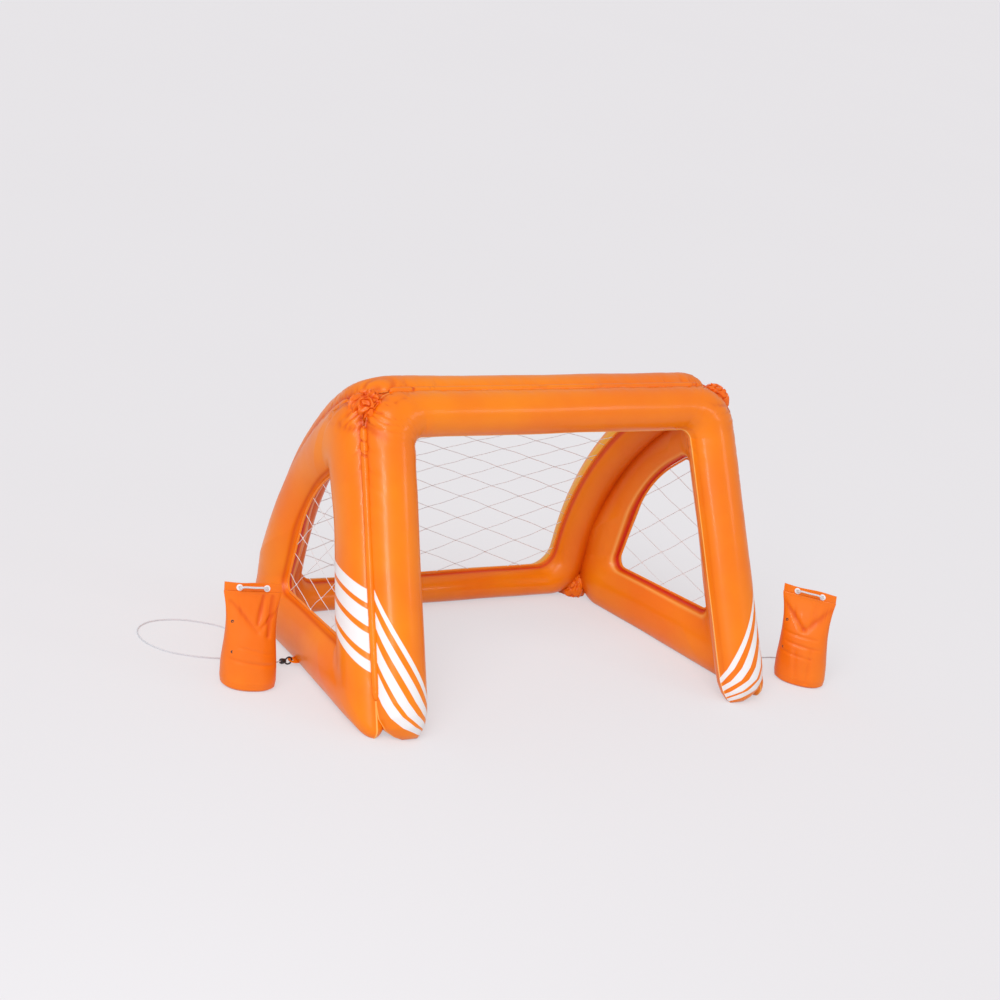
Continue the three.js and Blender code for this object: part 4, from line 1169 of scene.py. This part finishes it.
# %% Bag shells
def bag_shell(name, seed):
    level = np.concatenate([np.linspace(0, 0.1, 16, endpoint=False), np.linspace(0.1, 1, 90)])
    wide = np.interp(level, bag_levels, bag_wide)
    wide[16:] = softened(wide)[16:]
    pinch = softened(np.interp(level, bag_levels, bag_pinch))
    deep = np.interp(level, bag_levels, bag_deep)
    width = (foot_width + (fold_width - foot_width) * level) * wide
    depth = (foot_depth + (fold_depth - foot_depth) * pinch) * deep
    around = full_turn(96)
    cos, sin = np.cos(around), np.sin(around)
    x = width[:, None] / 2 * np.sign(cos) * np.abs(cos) ** 0.9
    y = depth[:, None] / 2 * np.sign(sin) * np.abs(sin) ** 0.9
    z = np.repeat((level * bag_height)[:, None], 96, 1)
    front = np.stack([x, z], 2)
    facing = np.clip(-sin, 0, 1)[None] ** 0.5
    behind = np.clip(sin, 0, 1)[None] ** 0.5
    drawn = np.zeros(x.shape)
    for start, end, reach, amount in bag_folds[name]:
        drawn += amount * near_line(front, start, end, reach) * facing
    for start, end, reach, amount in bag_folds[name][::-1]:
        drawn += behind_share * amount * near_line(front * (-1, 1), start, end, reach) * behind
    gather = folds(around[None] * 0.05 + 0 * level[:, None], 0.006, seed, 0.4)
    high_up = np.clip((level[:, None] - 0.62) / 0.3, 0, 1)
    drawn += gather_depth * gather * high_up * np.clip(depth[:, None] / 0.03, 0, 1)
    soft = np.array([
        noise.noise(Vector((a * 22 + seed, b * 22, c * 22)))
        for a, b, c in zip(x.ravel(), y.ravel(), z.ravel())
    ]).reshape(x.shape)
    drawn += ripple_depth * soft * np.clip(level / 0.06, 0, 1)[:, None]
    size = np.hypot(x, y) + 1e-9
    keep = 1 - np.minimum(drawn / size, 0.45)
    points = np.stack([x * (1 - 0.3 * (1 - keep)), y * keep, z], 2)
    matrix = np.array(bag_matrix(name))
    points = points @ matrix[:3, :3].T + matrix[:3, 3]
    # The depth of each fold is kept as painted shade.
    crease_shade = np.clip(drawn / deepest_bag_fold, 0, 1)
    shell = rolled(name + "_bag_sleeve", points, False, {"crease_shade": crease_shade, "weld": crease_shade * 0})
    shell.data.materials.append(bag_vinyl)
    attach(shell, "goal")
    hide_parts(name + "_bag_shell")


for name, seed in (("left", 11), ("right", 12)):
    bag_shell(name, seed)
print("bag sleeves made")


# %% [markdown]
# Small hard parts are modelled once, upright at the origin, by adding a primitive and
# then insetting and extruding its faces. Each place gets a copy with a mesh of its own.

# %% Hand tools
def start_edit(obj):
    only(obj)
    bpy.ops.object.mode_set(mode="EDIT")
    bpy.ops.mesh.select_mode(type="FACE")
    bpy.ops.mesh.select_all(action="DESELECT")


def pick_faces(obj, test):
    bpy.ops.object.mode_set(mode="OBJECT")
    for face in obj.data.polygons:
        face.select = test(face.center, face.normal)
    bpy.ops.object.mode_set(mode="EDIT")


def stop_edit():
    bpy.ops.object.mode_set(mode="OBJECT")


def soften(obj, width, segments=2):
    only(obj)
    bevel = obj.modifiers.new("bevel", "BEVEL")
    bevel.width, bevel.segments, bevel.limit_method = width, segments, "ANGLE"
    bpy.ops.object.modifier_apply(modifier="bevel")
    bpy.ops.object.shade_smooth_by_angle(angle=math.radians(40))
    return obj


def shape_end(obj, end, *steps):
    """Picks the top (1) or the bottom (-1) and insets, shifts or draws it, step by step."""
    start_edit(obj)
    pick_faces(obj, lambda centre, normal: normal.z * end > 0.9)
    for kind, amount in steps:
        if kind == "inset":
            bpy.ops.mesh.inset(thickness=amount)
        elif kind == "shift":
            bpy.ops.transform.translate(value=(0, 0, amount))
        else:
            bpy.ops.mesh.extrude_region_move(TRANSFORM_OT_translate={"value": (0, 0, amount)})
    stop_edit()


def cylinder(radius, low, high, sides=48, x=0.0):
    obj = added(
        bpy.ops.mesh.primitive_cylinder_add,
        vertices=sides, radius=radius, depth=high - low, location=(x, 0, (low + high) / 2),
    )
    bpy.ops.object.transform_apply(location=True)
    return obj


def box_shape(size, centre):
    obj = added(bpy.ops.mesh.primitive_cube_add, size=1, location=centre, scale=size)
    bpy.ops.object.transform_apply(location=True, scale=True)
    return obj


def copied(pattern, name, matrix, material, body, slot, *stands_for):
    made = pattern.copy()
    made.data = pattern.data.copy()
    made.name = made.data.name = name
    bpy.context.scene.collection.objects.link(made)
    made.data.transform(matrix)
    made.data.materials.clear()
    made.data.materials.append(material)
    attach(made, body)
    if stands_for:
        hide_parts(*stands_for)
    return made


# %% [markdown]
# Each air chamber has a soft valve: a flange welded to the film, a short neck, and a
# stopper on a strap that swings open. The bags have one to let water in.

# %% Valve patterns
flange_radius, stopper_radius = 0.019, 0.0085
flange_top, neck_top = 0.0016, 0.0086
seat = cylinder(flange_radius, -0.002, flange_top)
shape_end(
    seat, 1, ("inset", 0.0025), ("shift", -0.0004), ("inset", 0.0072), ("shift", 0.0008),
    ("inset", 0.0018), ("draw", neck_top - 0.002), ("inset", 0.0031), ("draw", -0.006),
)
root = box_shape((0.004, 0.006, neck_top), (0.0145, 0, neck_top / 2))
seat = soften(joined([seat, root]), 0.0005)

cap_low = neck_top + 0.0003
cap = cylinder(stopper_radius, cap_low, cap_low + 0.0026)
shape_end(cap, 1, ("inset", 0.0016), ("draw", -0.0007), ("inset", 0.0034), ("draw", 0.0006))
shape_end(cap, -1, ("inset", 0.0052), ("draw", -0.0024))
strap = box_shape((0.0145, 0.006, 0.0016), (0.00725, 0, cap_low + 0.0008))
stopper = soften(joined([cap, strap]), 0.0004)
print("valve patterns", len(seat.data.polygons), len(stopper.data.polygons))

# %% Set the valves
# A valve stands on the skin of its panel, so its place on the panel's middle surface is
# lifted by half the panel's thickness there.
arch_valve_x, arch_valve_height, arch_skin = foot_x - 0.115, 0.500, 0.05554
side_valve_height, side_valve_inset, side_skin = 0.300, 0.104, 0.04644
back_valve_inset, back_skin = 0.044, 0.0540
filler_height, filler_slope = 0.134, 0.22
filler_pinch = np.interp(filler_height / bag_height, bag_levels, bag_pinch)
filler_depth = (foot_depth + (fold_depth - foot_depth) * filler_pinch) / 2


def standing(at, normal, along):
    """Axes that stand on a surface: z out of it, and x as near to along as it can be."""
    z = unit(np.array(normal, float))
    x = unit(np.array(along, float) - z * np.dot(along, z))
    axes = Matrix(np.stack([x, np.cross(z, x), z], 1).tolist())
    return Matrix.Translation(at) @ axes.to_4x4()


def on_panel(surface, flat, face, skin, along=(0, 0, 1)):
    places, normals = surface(np.array([flat]))
    return standing(places[0] + normals[0] * face * skin, normals[0] * face, along)


side_valve_y = foot_y + lean * side_valve_height + side_valve_inset * slope
side_valve = (side_valve_y, side_valve_height)
back_valve = (0, profile_length - back_valve_inset)
filler = standing((0, filler_depth, filler_height), (0, 1, filler_slope), (0, 0, 1))
valve_places = {
    "arch": on_panel(on_arch, (arch_valve_x, arch_valve_height), -1, arch_skin),
    "left": on_panel(on_side(-1), side_valve, -1, side_skin),
    "right": on_panel(on_side(1), side_valve, -1, side_skin),
    "back": on_panel(on_back, back_valve, 1, back_skin, (1, 0, 0)),
}
for name in bags:
    valve_places[name + "_bag"] = bag_matrix(name) @ filler
for name, matrix in valve_places.items():
    copied(seat, name + "_valve", matrix, clear_vinyl, "goal", "soft_vinyl", name + "_valve_seat")
    copied(stopper, name + "_valve_cap", matrix, clear_vinyl, name + "_stopper", "soft_vinyl",
           name + "_valve_stopper")
for pattern in (seat, stopper):
    bpy.data.objects.remove(pattern)
print("valves set", len(valve_places))

# %% [markdown]
# A tie tab is a tongue of doubled vinyl with a hole. The black clip is a ring through
# the hole with a ribbed barrel, and the cord ends in the barrel.

# %% Tab and clip patterns
tab_reach, hole_at, hole_radius = 0.046, 0.036, 0.005
tab = box_shape((tab_reach, 0.034, 0.003), (tab_reach / 2, 0, 0))
start_edit(tab)
stop_edit()
for edge in tab.data.edges:
    ends = [tab.data.vertices[k].co for k in edge.vertices]
    at_tip = all(end.x > tab_reach * 0.9 for end in ends)
    edge.select = at_tip and abs(ends[0].z - ends[1].z) > 0.002
bpy.ops.object.mode_set(mode="EDIT")
bpy.ops.mesh.select_mode(type="EDGE")
bpy.ops.mesh.bevel(offset=0.014, segments=10, affect="EDGES")
stop_edit()
punch = cylinder(hole_radius, -0.01, 0.01, 32, hole_at)
only(tab)
cut = tab.modifiers.new("hole", "BOOLEAN")
cut.object, cut.operation, cut.solver = punch, "DIFFERENCE", "EXACT"
bpy.ops.object.modifier_apply(modifier="hole")
bpy.data.objects.remove(punch)
tab = soften(tab, 0.0006)

# The ring is pulled out until its wire lies against the rim of the hole, which has ten
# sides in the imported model.
ring_radius, wire_radius, ring_gap = 0.010, 0.0022, 0.0006
rim = hole_at + hole_radius * math.cos(math.pi / 10)
ring_at = rim - ring_gap - wire_radius + ring_radius
barrel_start, barrel_end = ring_at + ring_radius, ring_at + 0.026
ring = added(
    bpy.ops.mesh.primitive_torus_add,
    major_radius=ring_radius, minor_radius=wire_radius, major_segments=40, minor_segments=14,
    location=(ring_at, 0, 0), rotation=(math.pi / 2, 0, 0),
)
bpy.ops.object.transform_apply(location=True, rotation=True)
bpy.ops.object.shade_smooth()
barrel = cylinder(0.0062, barrel_start, barrel_end, 32)
shape_end(barrel, 1, ("inset", 0.0029), ("draw", -0.009))
start_edit(barrel)
for level in (0.003, 0.007, 0.011):
    for edge_level in (level, level + 0.0022):
        bpy.ops.mesh.select_all(action="SELECT")
        bpy.ops.mesh.bisect(plane_co=(0, 0, barrel_start + edge_level), plane_no=(0, 0, 1))
    middle = barrel_start + level + 0.0011
    pick_faces(barrel, lambda c, n: abs(c.z - middle) < 0.0009 and math.hypot(c.x, c.y) > 0.005)
    bpy.ops.transform.resize(value=(1.12, 1.12, 1), center_override=(0, 0, middle))
stop_edit()
barrel.data.transform(Matrix.Rotation(math.pi / 2, 4, "Y"))
barrel = soften(barrel, 0.0004)
clip = joined([barrel, ring])
print("clip pattern", len(clip.data.polygons))

# %% Set tabs and clips
tab_height, tab_y = 0.013, 0.05
tab_x = seam_x(tab_y, tab_height) + 0.005


def bag_tie(name, heading, reach=0.04):
    """The root of a bag's tab, at reach from the bag's middle, and the tab's heading."""
    (x, y), turn = bags[name][0], math.radians(heading)
    return (x + reach * math.cos(turn), y + reach * math.sin(turn)), heading


tie_places = {
    "left": ((-tab_x, tab_y), 180.0),
    "right": ((tab_x, tab_y), 0.0),
    "left_bag": bag_tie("left", 60.0),
    "right_bag": bag_tie("right", 75.0),
}
for name, ((x, y), heading) in tie_places.items():
    turn = Matrix.Rotation(math.radians(heading), 4, "Z")
    matrix = Matrix.Translation((x, y, tab_height)) @ turn
    copied(tab, name + "_tab", matrix, plain_vinyl, "goal", "dark_vinyl", name + "_tie_tab")
    copied(clip, name + "_clip", matrix, black_plastic, "goal", "black_plastic",
           name + "_cord_clip")
for pattern in (tab, clip):
    bpy.data.objects.remove(pattern)

# %% [markdown]
# The bag's folded top is a flat strip. Each eyelet is a white ring pressed round a hole,
# the handle is a short cord through both, and two black studs sit on the bag's left edge.

# %% Bag tops
fold_low = bag_height + 0.0006
fold_size = (0.1546, 0.0034, 0.022)
fold = box_shape(fold_size, (0, 0, fold_low + fold_size[2] / 2))
start_edit(fold)
bpy.ops.mesh.select_all(action="SELECT")
bpy.ops.mesh.subdivide(number_cuts=9)
stop_edit()
p = points_of(fold)
p[:, 1] += 0.0009 * np.sin(p[:, 0] * 70 + 0.6)
p[:, 2] += np.where(p[:, 2] > fold_low + 0.012, 0.0012 * np.sin(p[:, 0] * 48), 0)
move_points(fold, p)
fold = soften(fold, 0.0008)

eyelet_z = fold_low + fold_size[2] - 0.008 - 0.0045
eyelet_face = -fold_size[1] / 2 - 0.0003
eyelet_x = 0.037


def eyelet_shape(x):
    disc = cylinder(0.009, 0, 0.0018, 40)
    shape_end(
        disc, 1, ("inset", 0.0024), ("shift", 0.0008), ("inset", 0.0030), ("shift", -0.0004),
        ("draw", -0.0014),
    )
    place = Matrix.Translation((x, eyelet_face, eyelet_z))
    disc.data.transform(place @ Matrix.Rotation(math.pi / 2, 4, "X"))
    return soften(disc, 0.0004)


eyelets = {"inner": eyelet_shape(-eyelet_x), "outer": eyelet_shape(eyelet_x)}
handle_y = eyelet_face - 0.0020
handle_line = smooth_line([
    (-eyelet_x, handle_y, eyelet_z), (-eyelet_x, handle_y - 0.0045, eyelet_z),
    (-0.028, handle_y - 0.009, eyelet_z + 0.005), (0, handle_y - 0.009, eyelet_z + 0.005),
    (0.028, handle_y - 0.009, eyelet_z + 0.005), (eyelet_x, handle_y - 0.0045, eyelet_z),
    (eyelet_x, handle_y, eyelet_z),
], 0.0015)
handle_rings = tube_rings(handle_line, 0.0027, 12)
handle = rolled("handle", handle_rings, False, twine_marks(handle_line, 12))
for name in bags:
    matrix = bag_matrix(name)
    copied(fold, name + "_bag_folded_top", matrix, bag_vinyl, "goal", "bag_vinyl",
           name + "_bag_fold")
    for end, shape in eyelets.items():
        copied(shape, f"{name}_bag_{end}_ring", matrix, white_plastic, "goal", "white_plastic",
               f"{name}_bag_{end}_eyelet")
    copied(handle, name + "_bag_handle_cord", matrix, cord_twine, "goal", "cord",
           name + "_bag_handle")
for pattern in (fold, handle, *eyelets.values()):
    bpy.data.objects.remove(pattern)

# %% Studs
for name in bags:
    for which in ("lower", "upper"):
        node = f"{name}_bag_{which}_stud"
        low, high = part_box(node)
        centre = (low + high) / 2
        stud = cylinder(0.0042, -0.0016, 0.0012, 28)
        shape_end(
            stud, 1, ("inset", 0.0012), ("shift", 0.0006), ("inset", 0.0012), ("shift", -0.0007),
        )
        soften(stud, 0.0003)
        turn = bags[name][1]
        facing = Vector((-0.45, -1, 0.1)).normalized()
        facing.rotate(Matrix.Rotation(math.radians(turn), 4, "Z"))
        matrix = Matrix.Translation(centre) @ facing.to_track_quat("Z", "Y").to_matrix().to_4x4()
        copied(stud, node + "_button", matrix, black_plastic, "goal", "black_plastic", node)
        bpy.data.objects.remove(stud)
print("bag fittings set")

# %% [markdown]
# The room is a plain pale floor under an even pale sky. A very soft sun from the upper
# left gives the vinyl its form, and two weak lamps put the long highlights on the tubes.
# The light is at a plain level, so that the vinyl shows about as it is written. The floor
# shows the camera a share of its plain colour, so that the shadows on it stay pale.

# %% Floor
floor = added(bpy.ops.mesh.primitive_plane_add, size=90, location=(0, 10, -0.0004))
floor.name = "floor"
floor_finish = Finish("pale_floor", Specular_IOR_Level=0.1)
floor_tint = floor_finish.mix(
    floor_finish.noise(0.6, 2), shade(228, 227, 230), shade(232, 231, 234),
)
floor_finish.set(Base_Color=floor_tint, Roughness=0.9)
pale = floor_finish.add("ShaderNodeEmission", {}, {"Color": shade(238, 235, 238), "Strength": 1.0})
seen = [
    floor_finish.add("ShaderNodeLightPath", out=f"Is {ray} Ray")
    for ray in ("Camera", "Glossy", "Transmission")
]
lit = Wire(floor_finish, floor_finish.shader.outputs[0])
shown = floor_finish.add(
    "ShaderNodeMixShader", {}, {0: (seen[0] + seen[1] + seen[2]) * 0.6, 1: lit, 2: pale},
)
floor_finish.join(floor_finish.tree.nodes["Material Output"].inputs["Surface"], shown)
floor.data.materials.append(floor_finish.material)

# %% Lamps and sky
world = bpy.data.worlds.new("sky")
bpy.context.scene.world = world
world.use_nodes = True
world.node_tree.nodes["Background"].inputs["Color"].default_value = (1.0, 0.99, 0.99, 1)
world.node_tree.nodes["Background"].inputs["Strength"].default_value = 0.56


def lamp_at(name, kind, place, energy):
    lamp = bpy.data.lights.new(name, kind)
    lamp.energy = energy
    holder = bpy.data.objects.new(name, lamp)
    bpy.context.scene.collection.objects.link(holder)
    holder.location = place
    aim = Vector((0, 0, 0.3)) - Vector(place)
    holder.rotation_euler = aim.to_track_quat("-Z", "Y").to_euler()
    return lamp


lamp_at("sun", "SUN", (-3.4, -2.6, 5.0), 1.45).angle = 0.7
lamp_at("left_sheen", "AREA", (-2.6, -2.4, 1.9), 20).size = 0.8
lamp_at("right_sheen", "AREA", (2.6, -3.0, 2.4), 9).size = 0.8
bpy.context.scene.view_settings.view_transform = "Standard"
print("lamps set")
